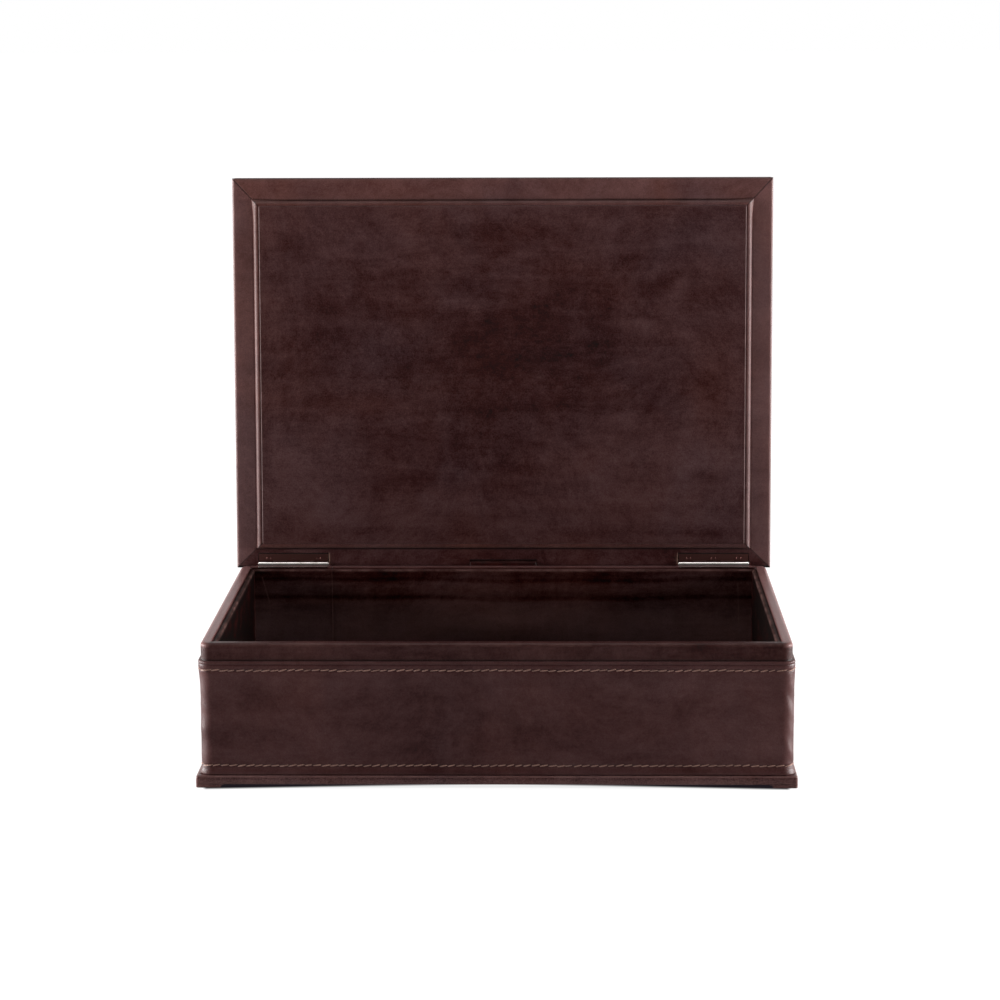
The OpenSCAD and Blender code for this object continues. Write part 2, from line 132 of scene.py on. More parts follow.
def addCamera(v):
    # Looks along yaw and pitch; the picture's right and up axes are then turned by the roll.
    yaw, pitch, roll = (math.radians(v[k]) for k in ("yaw", "pitch", "roll"))
    ahead = Vector((math.sin(yaw) * math.cos(pitch), math.cos(yaw) * math.cos(pitch), -math.sin(pitch)))
    right = Vector((math.cos(yaw), -math.sin(yaw), 0))
    up = right.cross(ahead)
    turnedRight = math.cos(roll) * right + math.sin(roll) * up
    turnedUp = -math.sin(roll) * right + math.cos(roll) * up
    data = bpy.data.cameras.new("camera")
    data.lens = v["lens"]
    data.sensor_width = v["sensor"]
    data.clip_start, data.clip_end = 0.05, 100
    camera = addObject("camera", data)
    turn = Matrix((turnedRight, turnedUp, -ahead)).transposed().to_4x4()
    camera.matrix_world = Matrix.Translation(v["place"]) @ turn
    bpy.context.scene.camera = camera


def add(tree, kind, links=None, **settings):
    # Adds a node; links maps a socket's name or number to a value or to another node's socket.
    node = tree.nodes.new(kind)
    for key, value in settings.items():
        setattr(node, key, value)
    for key, value in (links or {}).items():
        if isinstance(value, bpy.types.NodeSocket):
            tree.links.new(value, node.inputs[key])
        else:
            node.inputs[key].default_value = value
    return node


def maths(tree, operation, a, b=0.0, c=0.0, clamp=False):
    # One arithmetic step on two or three values.
    return add(tree, "ShaderNodeMath", {0: a, 1: b, 2: c}, operation=operation, use_clamp=clamp).outputs[0]


def rangeOf(tree, value, low, high, start=0.0, end=1.0, smooth=True):
    # Maps low..high to start..end, held at both ends.
    kind = "SMOOTHSTEP" if smooth else "LINEAR"
    links = {"Value": value, "From Min": low, "From Max": high, "To Min": start, "To Max": end}
    return add(tree, "ShaderNodeMapRange", links, interpolation_type=kind).outputs["Result"]


def times(tree, a, b, clamp=False):
    # a times b.
    return maths(tree, "MULTIPLY", a, b, clamp=clamp)


def minus(tree, a, b):
    # a less b.
    return maths(tree, "SUBTRACT", a, b)


def timesPlus(tree, a, b, c, clamp=False):
    # a times b, plus c.
    return maths(tree, "MULTIPLY_ADD", a, b, c, clamp)


def mixed(tree, factor, a, b, blend="MIX"):
    # Mixes two colours by a factor.
    links = {0: factor, 6: a, 7: b}
    return add(tree, "ShaderNodeMix", links, data_type="RGBA", blend_type=blend).outputs[2]


def mixedValue(tree, factor, a, b):
    # Mixes two plain values by a factor.
    return add(tree, "ShaderNodeMix", {0: factor, 2: a, 3: b}).outputs[0]


def stretched(tree, vector, amounts):
    # A vector with each axis times its own amount.
    return add(tree, "ShaderNodeVectorMath", {0: vector, 1: amounts}, operation="MULTIPLY").outputs[0]


def rgb(*colour):
    # A colour with full alpha.
    return tuple(colour) + (1.0,)


def emptyTree(owner):
    # Turns on a world's or a material's nodes and clears them.
    owner.use_nodes = True
    owner.node_tree.nodes.clear()
    return owner.node_tree


studio = dict(
    behindLevel=1.0, frontLevel=0.10, diffuseLevel=0.30, floorHalf=20.0, floorTone=0.80, floorShade=0.24,
    floorGlow=0.82, farGlow=1.0, farFrom=0.35, farTo=1.3,
    # under, underHalf, underFront, underRear and underSoft draw a painted shadow on the floor under the
    # plinth: its colour, half width, front edge, rear fade and softness; footShade and middleLight move its
    # front edge beside the feet and in the middle.
    under=(0.0125, 0.0098, 0.0135), underHalf=0.1655, underFront=-0.1341, underRear=(0.108, 0.116),
    underSoft=0.003, footShade=-0.0024, middleLight=0.0105,
    lamps=(
        # Name, place, aim, width, height, watts.
        ("overheadBox", (0.0, -0.10, 2.0), (0.0, 0.0, 0.15), 1.6, 1.2, 12.0),
        ("leftBox", (-1.5, 0.05, 0.24), (0.0, 0.05, 0.20), 1.2, 0.46, 92.0),
        ("rightBox", (1.5, 0.05, 0.24), (0.0, 0.05, 0.20), 1.2, 0.46, 88.0),
    ),
)


def seenDirectly(tree):
    # 1 for rays from the camera, and 1 for mirrors and glass, so that they find the white background.
    path = add(tree, "ShaderNodeLightPath").outputs
    mirrored = maths(tree, "MAXIMUM", path["Is Glossy Ray"], path["Is Transmission Ray"])
    return path["Is Camera Ray"], mirrored


def addWorld(v):
    # White all round for the camera; in mirrors it dims towards the front, as in a dark room.
    world = bpy.data.worlds.new("whiteTent")
    bpy.context.scene.world = world
    tree = emptyTree(world)
    camera, mirrored = seenDirectly(tree)
    across = add(tree, "ShaderNodeTexCoord").outputs["Generated"]
    depth = add(tree, "ShaderNodeSeparateXYZ", {0: across}).outputs["Y"]
    tent = rangeOf(tree, depth, -0.85, -0.15, v["frontLevel"], v["behindLevel"])
    level = mixedValue(tree, mirrored, times(tree, tent, v["diffuseLevel"]), tent)
    level = mixedValue(tree, camera, level, 1.0)
    shade = add(tree, "ShaderNodeBackground", {"Color": rgb(1, 1, 1), "Strength": level})
    tree.links.new(shade.outputs[0], add(tree, "ShaderNodeOutputWorld").inputs[0])


def addFloor(v):
    # A plain pale sweep: it glows for the camera and keeps a share of the real shadow. Under the plinth it
    # carries a painted shadow, a dark glow, whose front edge lies further in towards the middle than beside
    # the feet, where the light reaches a little further in.
    h = v["floorHalf"]
    data = bpy.data.meshes.new("floor")
    data.from_pydata([(-h, -h, 0), (h, -h, 0), (h, h, 0), (-h, h, 0)], [], [(0, 1, 2, 3)])
    floor = addObject("floor", data)
    material = bpy.data.materials.new("paleFloor")
    tree = emptyTree(material)
    camera, mirrored = seenDirectly(tree)
    coords = add(tree, "ShaderNodeTexCoord").outputs["Object"]
    distance = add(tree, "ShaderNodeVectorMath", {0: coords}, operation="LENGTH").outputs["Value"]
    glowLevel = rangeOf(tree, distance, v["farFrom"], v["farTo"], v["floorGlow"], v["farGlow"])
    place = add(tree, "ShaderNodeSeparateXYZ", {0: coords}).outputs
    across = maths(tree, "ABSOLUTE", place["X"])
    half, soft = v["underHalf"], v["underSoft"]
    nearFoot = maths(tree, "DIVIDE", across, half)
    middleFront = v["underFront"] + v["middleLight"]
    shadeFrom = timesPlus(tree, nearFoot, v["footShade"] - v["middleLight"], middleFront)
    # under is the painted shadow's mask: from its front edge back to the plinth's rear, and across the
    # plinth's width.
    under = rangeOf(tree, minus(tree, place["Y"], shadeFrom), -soft, soft)
    under = times(tree, under, rangeOf(tree, across, half, half + soft, 1.0, 0.0))
    under = times(tree, under, rangeOf(tree, place["Y"], *v["underRear"], 1.0, 0.0))
    plain = add(tree, "ShaderNodeBsdfDiffuse", {"Color": rgb(*[v["floorTone"]] * 3)}).outputs[0]
    shaded = add(tree, "ShaderNodeBsdfDiffuse", {"Color": rgb(*[v["floorShade"]] * 3)}).outputs[0]
    glow = add(tree, "ShaderNodeEmission", {"Color": rgb(1, 1, 1), "Strength": glowLevel}).outputs[0]
    # dark is the painted shadow's colour.
    dark = add(tree, "ShaderNodeEmission", {"Color": rgb(*v["under"]), "Strength": 1.0}).outputs[0]
    seen = add(tree, "ShaderNodeAddShader", {0: shaded, 1: glow}).outputs[0]
    seen = add(tree, "ShaderNodeMixShader", {0: under, 1: seen, 2: dark}).outputs[0]
    factor = maths(tree, "MAXIMUM", camera, mirrored)
    shade = add(tree, "ShaderNodeMixShader", {0: factor, 1: plain, 2: seen}).outputs[0]
    tree.links.new(shade, add(tree, "ShaderNodeOutputMaterial").inputs[0])
    data.materials.append(material)


def addLamps(v):
    # Large plain softboxes, each turned to its aim.
    for name, place, aim, width, height, power in v["lamps"]:
        data = bpy.data.lights.new(name, "AREA")
        data.shape = "RECTANGLE"
        data.size, data.size_y, data.energy = width, height, power
        lamp = addObject(name, data)
        lamp.location = place
        lamp.rotation_euler = (Vector(aim) - Vector(place)).to_track_quat("-Z", "Y").to_euler()


bpy.context.scene.view_settings.view_transform = "Standard"
addCamera(cameraView)
addWorld(studio)
addFloor(studio)
addLamps(studio)
print("studio ready")


# Effects shared by several materials.

def newGroup(name, inputs, outputs):
    # An empty shader group. An input's value tells its kind: a number, a vector of 3 or a colour of 4.
    tree = bpy.data.node_groups.new(name, "ShaderNodeTree")
    kinds = {1: "NodeSocketFloat", 3: "NodeSocketVector", 4: "NodeSocketColor"}
    for label, value in inputs.items():
        socket = tree.interface.new_socket(label, in_out="INPUT", socket_type=kinds[np.size(value)])
        socket.default_value = value
    for label, kind in outputs.items():
        tree.interface.new_socket(label, in_out="OUTPUT", socket_type="NodeSocket" + kind)
    return tree, add(tree, "NodeGroupInput").outputs, add(tree, "NodeGroupOutput").inputs


def noise(tree, vector, scale, detail=3.0, rough=0.55, distortion=0.0):
    # Fractal noise about 0.5 at a scale in waves per metre.
    links = {"Vector": vector, "Scale": scale, "Detail": detail, "Roughness": rough, "Distortion": distortion}
    return add(tree, "ShaderNodeTexNoise", links).outputs["Fac"]


def swung(tree, value, amount, base):
    # A noise's swing about one half, times an amount, on top of a base.
    return timesPlus(tree, minus(tree, value, 0.5), amount, base)


def makeGrain():
    # Calf grain: small rounded cells with pores between them, over slower dents of the hide.
    tree, given, out = newGroup(
        "calfGrain", dict(vector=(0, 0, 0), cellScale=1500.0, dents=0.5), dict(height="Float", pores="Float"))
    place = given["vector"]
    warp = add(tree, "ShaderNodeTexNoise", {"Vector": place, "Scale": 420.0, "Detail": 2.0}).outputs["Color"]
    push = stretched(tree, warp, (0.0007, 0.0007, 0.0007))
    pushed = add(tree, "ShaderNodeVectorMath", {0: place, 1: push}, operation="ADD").outputs[0]
    cells = add(tree, "ShaderNodeTexVoronoi", {"Vector": pushed, "Scale": given["cellScale"]},
                feature="DISTANCE_TO_EDGE").outputs["Distance"]
    dome = rangeOf(tree, cells, 0.0, 0.28)
    height = timesPlus(tree, noise(tree, place, 340.0, 3.0), 0.6, times(tree, dome, 0.5))
    height = timesPlus(tree, noise(tree, place, 60.0, 4.0), given["dents"], height)
    tree.links.new(height, out["height"])
    tree.links.new(rangeOf(tree, cells, 0.0, 0.10, 1.0, 0.0), out["pores"])
    return tree


def attribute(tree, name):
    # A mesh's own point value; 0 where the mesh hasn't got it.
    return add(tree, "ShaderNodeAttribute", attribute_name=name, attribute_type="GEOMETRY").outputs["Fac"]


def makePatina():
    # Dyed leather's colour: the dye times a level, which is 1 plus clouds of many sizes, brushed streaks,
    # grit and the piece's tone attribute, which holds its own patches and, on some pieces, painted light and
    # shade. Slow noise and the piece's own blush turn it redder or greyer, and a level above 1 adds a little
    # grey haze.
    tree, given, out = newGroup(
        "dyedPatina",
        dict(vector=(0, 0, 0), dye=(1, 1, 1, 1), cloudScale=12.0, clouds=2.0, streaks=0.5, grit=0.3,
             haze=0.018, tint=1.0),
        dict(colour="Color", level="Float"))
    place = given["vector"]
    level = swung(tree, noise(tree, place, given["cloudScale"], 8.0, 0.93, 0.25), given["clouds"], 1.0)
    brushed = stretched(tree, place, (0.14, 0.14, 1.0))
    level = swung(tree, noise(tree, brushed, 90.0, 5.0, 0.75, 0.25), given["streaks"], level)
    level = swung(tree, noise(tree, place, 1150.0, 2.0, 0.8), given["grit"], level)
    level = maths(tree, "MAXIMUM", maths(tree, "ADD", level, attribute(tree, "tone")), 0.12)
    warmth = swung(tree, noise(tree, place, 14.0, 3.0, 0.6, 0.6), 4.0, attribute(tree, "blush"))
    factor = timesPlus(tree, times(tree, warmth, given["tint"]), 0.5, 0.5, True)
    tint = mixed(tree, factor, rgb(0.94, 1.03, 1.11), rgb(1.08, 0.96, 0.87))
    dyed = mixed(tree, 1.0, given["dye"], tint, "MULTIPLY")
    haze = times(tree, minus(tree, level, 1.0), given["haze"])
    dyed = mixed(tree, 1.0, mixed(tree, 1.0, dyed, level, "MULTIPLY"), haze, "ADD")
    tree.links.new(mixed(tree, 1.0, dyed, rgb(0.0015, 0.0008, 0.0007), "LIGHTEN"), out["colour"])
    tree.links.new(level, out["level"])
    return tree


def makeWear():
    # Edges carry their own mask, broken up by noise; a raw cut shows the undyed hide. The dark mask darkens
    # seams and also paints shade into creases, gaps and grooves.
    tree, given, out = newGroup(
        "edgeWear",
        dict(colour=(0, 0, 0, 1), vector=(0, 0, 0), rubbed=(1, 1, 1, 1), raw=(1, 1, 1, 1), wear=0.5),
        dict(colour="Color", mask="Float"))
    edge, raw, dark = (attribute(tree, label) for label in ("edge", "raw", "dark"))
    patches = rangeOf(tree, noise(tree, given["vector"], 95.0, 5.0, 0.65), 0.38, 0.66, 0.25, 1.0)
    mask = times(tree, times(tree, edge, patches), given["wear"])
    fibres = rangeOf(tree, noise(tree, given["vector"], 1400.0, 3.0, 0.7), 0.3, 0.7, 0.35, 1.0)
    rawMask = times(tree, raw, fibres, True)
    colour = mixed(tree, mask, given["colour"], given["rubbed"])
    colour = mixed(tree, rawMask, colour, given["raw"])
    # The dark colour: seams' joints, and painted shade in creases and gaps.
    tree.links.new(mixed(tree, dark, colour, rgb(0.003, 0.0012, 0.001)), out["colour"])
    tree.links.new(maths(tree, "MAXIMUM", mask, rawMask), out["mask"])
    return tree


def makeScuffs():
    # Fine dry scratches: thin level lines of a stretched noise, seen only in a few patches.
    tree, given, out = newGroup("dryScuffs", dict(vector=(0, 0, 0), scuffs=0.3), dict(mask="Float"))
    slant = dict(Vector=given["vector"], Rotation=(0.2, 0.5, 0.35), Scale=(0.35, 1.0, 1.0))
    lines = noise(tree, add(tree, "ShaderNodeMapping", slant).outputs[0], 260.0, 2.0, 0.5, 1.2)
    thin = rangeOf(tree, maths(tree, "ABSOLUTE", minus(tree, lines, 0.5)), 0.0, 0.012, 1.0, 0.0)
    limit = minus(tree, 0.78, times(tree, given["scuffs"], 0.4))
    seen = rangeOf(tree, minus(tree, noise(tree, given["vector"], 22.0, 2.0), limit), 0.0, 0.08)
    tree.links.new(times(tree, thin, seen), out["mask"])
    return tree


groups = dict(grain=makeGrain(), patina=makePatina(), wear=makeWear(), scuffs=makeScuffs())
print("material effects ready")


# Materials.

def startMaterial(name):
    # A new material with one shader; gives what its nodes are linked to.
    material = bpy.data.materials.new(name)
    tree = emptyTree(material)
    shader = add(tree, "ShaderNodeBsdfPrincipled")
    tree.links.new(shader.outputs[0], add(tree, "ShaderNodeOutputMaterial").inputs[0])
    return material, tree, shader, add(tree, "ShaderNodeTexCoord").outputs["Object"]


ownSockets = dict(specular="Specular IOR Level", sheen="Sheen Weight", metallic="Metallic")


def finishShader(tree, shader, colour, rough, height, v):
    # Colour, roughness and a bump feed the shader; what is the same all over goes on its own sockets.
    strength = v.get("bumpStrength", 1.0)
    lump = add(tree, "ShaderNodeBump", {"Height": height, "Distance": v["bumpDepth"], "Strength": strength})
    for label, socket in (("Base Color", colour), ("Roughness", rough), ("Normal", lump.outputs[0])):
        tree.links.new(socket, shader.inputs[label])
    for key, label in ownSockets.items():
        if key in v:
            shader.inputs[label].default_value = v[key]


def placeGroup(tree, name, v, **sockets):
    # A shared effect: some inputs are linked, and the others take the values of the same name.
    node = add(tree, "ShaderNodeGroup", sockets, node_tree=groups[name])
    for socket in node.inputs:
        if socket.name in v:
            socket.default_value = v[socket.name]
    return node.outputs


# The band's leather; the others give only what differs.
outerLeather = dict(
    dye=rgb(0.0358, 0.0112, 0.0106), cloudScale=9.0, clouds=1.9, streaks=0.6, grit=0.5, haze=0.018, tint=0.9,
    rubbed=rgb(0.090, 0.048, 0.044), raw=rgb(0.30, 0.17, 0.11), cellScale=1500.0, dents=0.6, poreShade=0.30,
    poreTone=0.30, bumpDepth=0.00005, roughness=(0.36, 0.46), wornRoughness=0.55, specular=0.12, scuffs=0.06,
    scuffShade=0.45, wear=0.40,
)
leathers = dict(
    outerLeather={},
    plinthLeather=dict(
        dye=rgb(0.0590, 0.0240, 0.0228), cloudScale=20.0, clouds=2.6, streaks=0.8, grit=2.2, tint=1.2,
        rubbed=rgb(0.115, 0.062, 0.056), dents=0.5, bumpDepth=0.00006, roughness=(0.30, 0.40), specular=0.14,
        scuffs=0.5, wear=0.8),
    collarLeather=dict(
        dye=rgb(0.0235, 0.0062, 0.0056), cloudScale=12.0, clouds=2.8, streaks=1.2, grit=0.45, haze=0.014,
        rubbed=rgb(0.072, 0.036, 0.032), raw=rgb(0.26, 0.15, 0.10), roughness=(0.32, 0.42), specular=0.09,
        scuffs=0.15, wear=0.6),
    marginLeather=dict(
        dye=rgb(0.0640, 0.0265, 0.0244), cloudScale=24.0, clouds=1.7, streaks=0.4, grit=0.6, haze=0.022,
        tint=1.3, rubbed=rgb(0.110, 0.058, 0.052), raw=rgb(0.32, 0.20, 0.155), cellScale=1700.0, dents=0.8,
        specular=0.13, scuffs=0.45),
    panelLeather=dict(
        dye=rgb(0.0306, 0.0113, 0.0109), cloudScale=10.0, clouds=2.2, streaks=0.8, grit=1.0, tint=1.0,
        cellScale=1300.0, dents=0.8, bumpDepth=0.00006, roughness=(0.36, 0.48), specular=0.08, scuffs=0.12,
        wear=0.5),
    innerLeather=dict(
        dye=rgb(0.0240, 0.0085, 0.0077), cloudScale=16.0, clouds=3.0, streaks=1.4, grit=0.8, haze=0.012,
        tint=1.3, rubbed=rgb(0.070, 0.036, 0.032), raw=rgb(0.26, 0.15, 0.10), cellScale=1400.0, dents=0.9,
        bumpDepth=0.00006, roughness=(0.36, 0.48), specular=0.02, scuffs=0.30, wear=0.95),
)


def makeLeather(name, v):
    # Patina, then worn edges and scuffs; the grain drives the bump, and light patches are glossier.
    material, tree, shader, coords = startMaterial(name)
    patina, grain, scuffs = (placeGroup(tree, k, v, vector=coords) for k in ("patina", "grain", "scuffs"))
    pore = rgb(*(c * v["poreTone"] for c in v["dye"][:3]))
    colour = mixed(tree, times(tree, grain["pores"], v["poreShade"]), patina["colour"], pore)
    colour = mixed(tree, times(tree, scuffs["mask"], v["scuffShade"]), colour, v["rubbed"])
    worn = placeGroup(tree, "wear", v, vector=coords, colour=colour)
    low, high = v["roughness"]
    gloss = rangeOf(tree, patina["level"], 0.7, 1.3, high, low, False)
    rough = mixedValue(tree, worn["mask"], gloss, v["wornRoughness"])
    finishShader(tree, shader, worn["colour"], rough, grain["height"], v)
    return material


threadLook = dict(
    dark=rgb(0.060, 0.026, 0.020), light=rgb(0.25, 0.135, 0.102), twists=2.6, plies=4, soilScale=130.0,
    roughness=(0.5, 0.7), bumpDepth=0.00012, specular=0.3,
)


def makeThread(v):
    # Twisted thread: bright and dark plies run slantwise along each stitch's own UV map.
    material, tree, shader, coords = startMaterial("waxedThread")
    uv = add(tree, "ShaderNodeUVMap", uv_map="strand").outputs[0]
    strand = add(tree, "ShaderNodeSeparateXYZ", {0: uv}).outputs
    phase = timesPlus(tree, strand["X"], v["twists"], strand["Y"])
    ply = timesPlus(tree, maths(tree, "SINE", times(tree, phase, v["plies"] * math.pi)), 0.5, 0.5)
    soil = noise(tree, coords, v["soilScale"], 4.0, 0.6)
    level = timesPlus(tree, ply, 0.45, times(tree, soil, 0.75), True)
    rough = rangeOf(tree, soil, 0.3, 0.7, *v["roughness"])
    finishShader(tree, shader, mixed(tree, level, v["dark"], v["light"]), rough, ply, v)
    return material


metalLook = dict(
    bright=rgb(0.80, 0.75, 0.72), dull=rgb(0.60, 0.54, 0.50), lacquerAndPaintedReflection=rgb(0.115, 0.048, 0.042),
    roughness=(0.08, 0.20), brownRoughness=0.38, brownSoft=0.0002, lineScale=2600.0, patchScale=160.0,
    bumpDepth=0.00001, bumpStrength=0.6, metallic=1.0,
)
# Height above which each metal turns rough brown: every screw, as lacquer; the lid leaves' plates, as a
# painted reflection of the box's dark interior; never the nickel.
brownFrom = dict(nickel=1.0, lidLeaf=0.0862, screw=0.0)


def makeMetal(name, height, v):
    # Plated hinge metal: brushed faintly along its length, duller in patches, rough brown above one height:
    # lacquer on the screws, and on the lid leaves a painted reflection of the box's dark interior.
    material, tree, shader, coords = startMaterial(name + "Metal")
    lines = noise(tree, stretched(tree, coords, (0.04, 1.0, 1.0)), v["lineScale"], 2.0)
    patches = rangeOf(tree, noise(tree, coords, v["patchScale"], 4.0), 0.42, 0.72)
    up = add(tree, "ShaderNodeSeparateXYZ", {0: coords}).outputs["Z"]
    brownMask = rangeOf(tree, up, height - v["brownSoft"], height + v["brownSoft"])
    plated = mixed(tree, patches, v["bright"], v["dull"])
    rough = rangeOf(tree, patches, 0.0, 1.0, *v["roughness"], False)
    rough = maths(tree, "MAXIMUM", rough, times(tree, brownMask, v["brownRoughness"]))
    finishShader(tree, shader, mixed(tree, brownMask, plated, v["lacquerAndPaintedReflection"]), rough, lines, v)
    return material


suedeLook = dict(
    dark=rgb(0.014, 0.0058, 0.0053), light=rgb(0.052, 0.0230, 0.0206), napScale=28.0, nap=1.5,
    fibreScale=1900.0, fibres=0.8, shift=-0.65, roughness=(0.82, 0.95), bumpDepth=0.00015, specular=0.15,
    sheen=0.15,
)


def makeSuede(v):
    # Brushed suede: a soft nap that lies in slow patches, with a dull sheen.
    material, tree, shader, coords = startMaterial("brownSuede")
    nap = noise(tree, coords, v["napScale"], 4.0, 0.6, 0.8)
    fibres = noise(tree, coords, v["fibreScale"], 3.0, 0.7)
    level = timesPlus(tree, fibres, v["fibres"], timesPlus(tree, nap, v["nap"], v["shift"]), True)
    rough = rangeOf(tree, nap, 0.3, 0.7, *v["roughness"])
    finishShader(tree, shader, mixed(tree, level, v["dark"], v["light"]), rough, fibres, v)
    return material


boardLook = dict(
    dark=rgb(0.20, 0.12, 0.065), light=rgb(0.36, 0.24, 0.14), ringScale=240.0, slowScale=30.0,
    roughness=(0.6, 0.8), bumpDepth=0.0001,
)


def makeBoard(v):
    # Sanded plywood for the walls: long fibres across a slow wave.
    material, tree, shader, coords = startMaterial("sandedBoard")
    fibre = stretched(tree, coords, (0.12, 1.0, 1.0))
    rings = noise(tree, fibre, v["ringScale"], 5.0, 0.65, 0.6)
    level = timesPlus(tree, rings, 0.7, times(tree, noise(tree, fibre, v["slowScale"], 2.0), 0.4), True)
    rough = rangeOf(tree, rings, 0.3, 0.7, *v["roughness"])
    finishShader(tree, shader, mixed(tree, level, v["dark"], v["light"]), rough, rings, v)
    return material


materials = {name: makeLeather(name, {**outerLeather, **own}) for name, own in leathers.items()}
materials.update({name: makeMetal(name, height, metalLook) for name, height in brownFrom.items()})
materials.update(thread=makeThread(threadLook), suede=makeSuede(suedeLook), board=makeBoard(boardLook))
print("materials ready:", len(materials))


# Mesh tools.

def gridQuads(rows, columns, wrapRows=False, wrapColumns=False):
    # The four corner numbers of each cell on a grid of rows by columns.
    r = np.arange(rows if wrapRows else rows - 1)[:, None]
    c = np.arange(columns if wrapColumns else columns - 1)[None, :]
    r2, c2 = (r + 1) % rows, (c + 1) % columns
    corners = np.broadcast_arrays(r * columns + c, r2 * columns + c, r2 * columns + c2, r * columns + c2)
    return np.stack(corners, -1).reshape(-1, 4)


def gridEdge(rows, columns):
    # The grid's outermost points, once round.
    n = np.arange(rows * columns).reshape(rows, columns)
    return np.concatenate([n[:-1, 0], n[-1, :-1], n[:0:-1, -1], n[0, :0:-1]])


def makePiece(name, points, faces, body, nodes, slot, material, sharp=38, uv=None, **masks):
    # Puts placed points and faces into a mesh, closes doubles and turns it right side out.
    # Masks are point values the materials read: edge, raw, dark, tone and blush. Dark and tone also carry
    # painted shade and light on some pieces.
    points = np.asarray(points).reshape(-1, 3)
    data = bpy.data.meshes.new(name)
    data.from_pydata(points.tolist(), [], [list(map(int, f)) for f in faces])
    for label, values in masks.items():
        layer = data.attributes.new(label, "FLOAT", "POINT")
        values = np.broadcast_to(np.asarray(values, np.float32).ravel(), len(points))
        layer.data.foreach_set("value", values.copy())
    if uv is not None:
        loops = np.zeros(len(data.loops), np.int32)
        data.loops.foreach_get("vertex_index", loops)
        layer = data.uv_layers.new(name="strand")
        layer.data.foreach_set("uv", np.asarray(uv, np.float32).reshape(-1, 2)[loops].ravel())
    shell = bmesh.new()
    shell.from_mesh(data)
    bmesh.ops.remove_doubles(shell, verts=shell.verts, dist=2e-7)
    bmesh.ops.dissolve_degenerate(shell, edges=shell.edges, dist=1e-7)
    if shell.calc_volume(signed=True) < 0:
        bmesh.ops.reverse_faces(shell, faces=shell.faces)
    shell.to_mesh(data)
    shell.free()
    data.polygons.foreach_set("use_smooth", np.ones(len(data.polygons), bool))
    data.set_sharp_from_angle(angle=math.radians(sharp))
    piece = addObject(name, data)
    data.materials.append(materials[material])
    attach(piece, body)
    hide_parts(*nodes)
    return piece


def spread(low, high, step, extra=()):
    # Even stations from low to high, with extra ones added in their places.
    count = max(2, int(round((high - low) / step)) + 1)
    return np.unique(np.round(np.concatenate([np.linspace(low, high, count), np.asarray(extra, float)]), 5))


def sideLines(half, corner, step, cornerSteps, extra=()):
    # Lines across one side of a round-cornered sheet: the straight part is -1..1, and the second list says
    # how far each line is round the corner.
    straight = half - corner
    even = spread(-straight, straight, step, extra) / straight
    bend = np.tan(np.linspace(0, math.pi / 4, cornerSteps + 1))[1:]
    flat = np.concatenate([-np.ones(cornerSteps), even, np.ones(cornerSteps)])
    turn = np.concatenate([-bend[::-1], np.zeros(len(even)), bend])
    return flat, turn


def sheetPoints(width, depth, corner, inset, linesX, linesY, height, middle=(0.0, 0.0)):
    # A rectangle drawn in by inset. The grid's corner cells are squeezed from a square to a quarter disc.
    hold = max(inset, corner)
    radius = max(corner - inset, 0.02)
    flatX, turnX = (a[:, None] for a in linesX)
    flatY, turnY = (a[None, :] for a in linesY)
    span = np.hypot(turnX, turnY)
    squeeze = np.where(span > 0, np.maximum(np.abs(turnX), np.abs(turnY)) / np.maximum(span, 1e-9), 0)
    x = middle[0] + flatX * (width / 2 - hold) + turnX * squeeze * radius
    y = middle[1] + flatY * (depth / 2 - hold) + turnY * squeeze * radius
    x, y = np.broadcast_arrays(x, y)
    return np.stack([x, y, np.full(x.shape, float(height))], -1)


def withMasks(points, masks):
    # Profile points for a slab, each with its edge mask.
    return [(x, z, mask) for (x, z), mask in zip(points, masks)]


def slab(width, depth, corner, profile, step, cornerSteps=4, extraX=(), extraY=(), middle=(0.0, 0.0)):
    # A closed block: a grid at the profile's first point, rings down the profile, a grid at its last.
    # Each profile point is (inset, height, edge mask). Gives points, faces, masks and each point's place in
    # the profile.
    linesX = sideLines(width / 2, max(corner, 0.05), step, cornerSteps, extraX)
    linesY = sideLines(depth / 2, max(corner, 0.05), step, cornerSteps, extraY)
    rows, columns = len(linesX[0]), len(linesY[0])
    around = gridEdge(rows, columns)
    levels = [sheetPoints(width, depth, corner, inset, linesX, linesY, z, middle).reshape(-1, 3)
              for inset, z, mask in profile]
    rings = np.stack([level[around] for level in levels])
    count, total = rows * columns, len(around)
    points = np.concatenate([levels[0], levels[-1], rings[1:-1].reshape(-1, 3)])
    first, last = around, around + count
    between = [2 * count + np.arange(total) + i * total for i in range(len(profile) - 2)]
    order = np.stack([first] + between + [last])
    ringQuads = gridQuads(len(profile), total, wrapColumns=True)
    sides = order.reshape(-1)[ringQuads]
    topQuads = gridQuads(rows, columns)
    faces = np.concatenate([topQuads, topQuads[:, ::-1] + count, sides[:, ::-1]])
    masks = np.array([p[2] for p in profile], float)
    level = np.concatenate([np.zeros(count), np.full(count, len(profile) - 1.0),
                            np.repeat(np.arange(1.0, len(profile) - 1), total)])
    mask = masks[level.astype(int)]
    inside = np.ones(count, bool)
    inside[around] = False
    mask[:count][inside] = 0
    mask[count:2 * count][inside] = 0
    return points, faces, mask, level.astype(int)


def closedBetween(front, back):
    # A solid between two sheets on the same grid, with a wall round their edges.
    rows, columns = front.shape[:2]
    quads = gridQuads(rows, columns)
    around = gridEdge(rows, columns)
    count = rows * columns
    onward = np.roll(around, -1)
    wall = np.stack([around, onward, onward + count, around + count], -1)
    points = np.concatenate([front.reshape(-1, 3), back.reshape(-1, 3)])
    return points, np.concatenate([quads[:, ::-1], quads + count, wall])


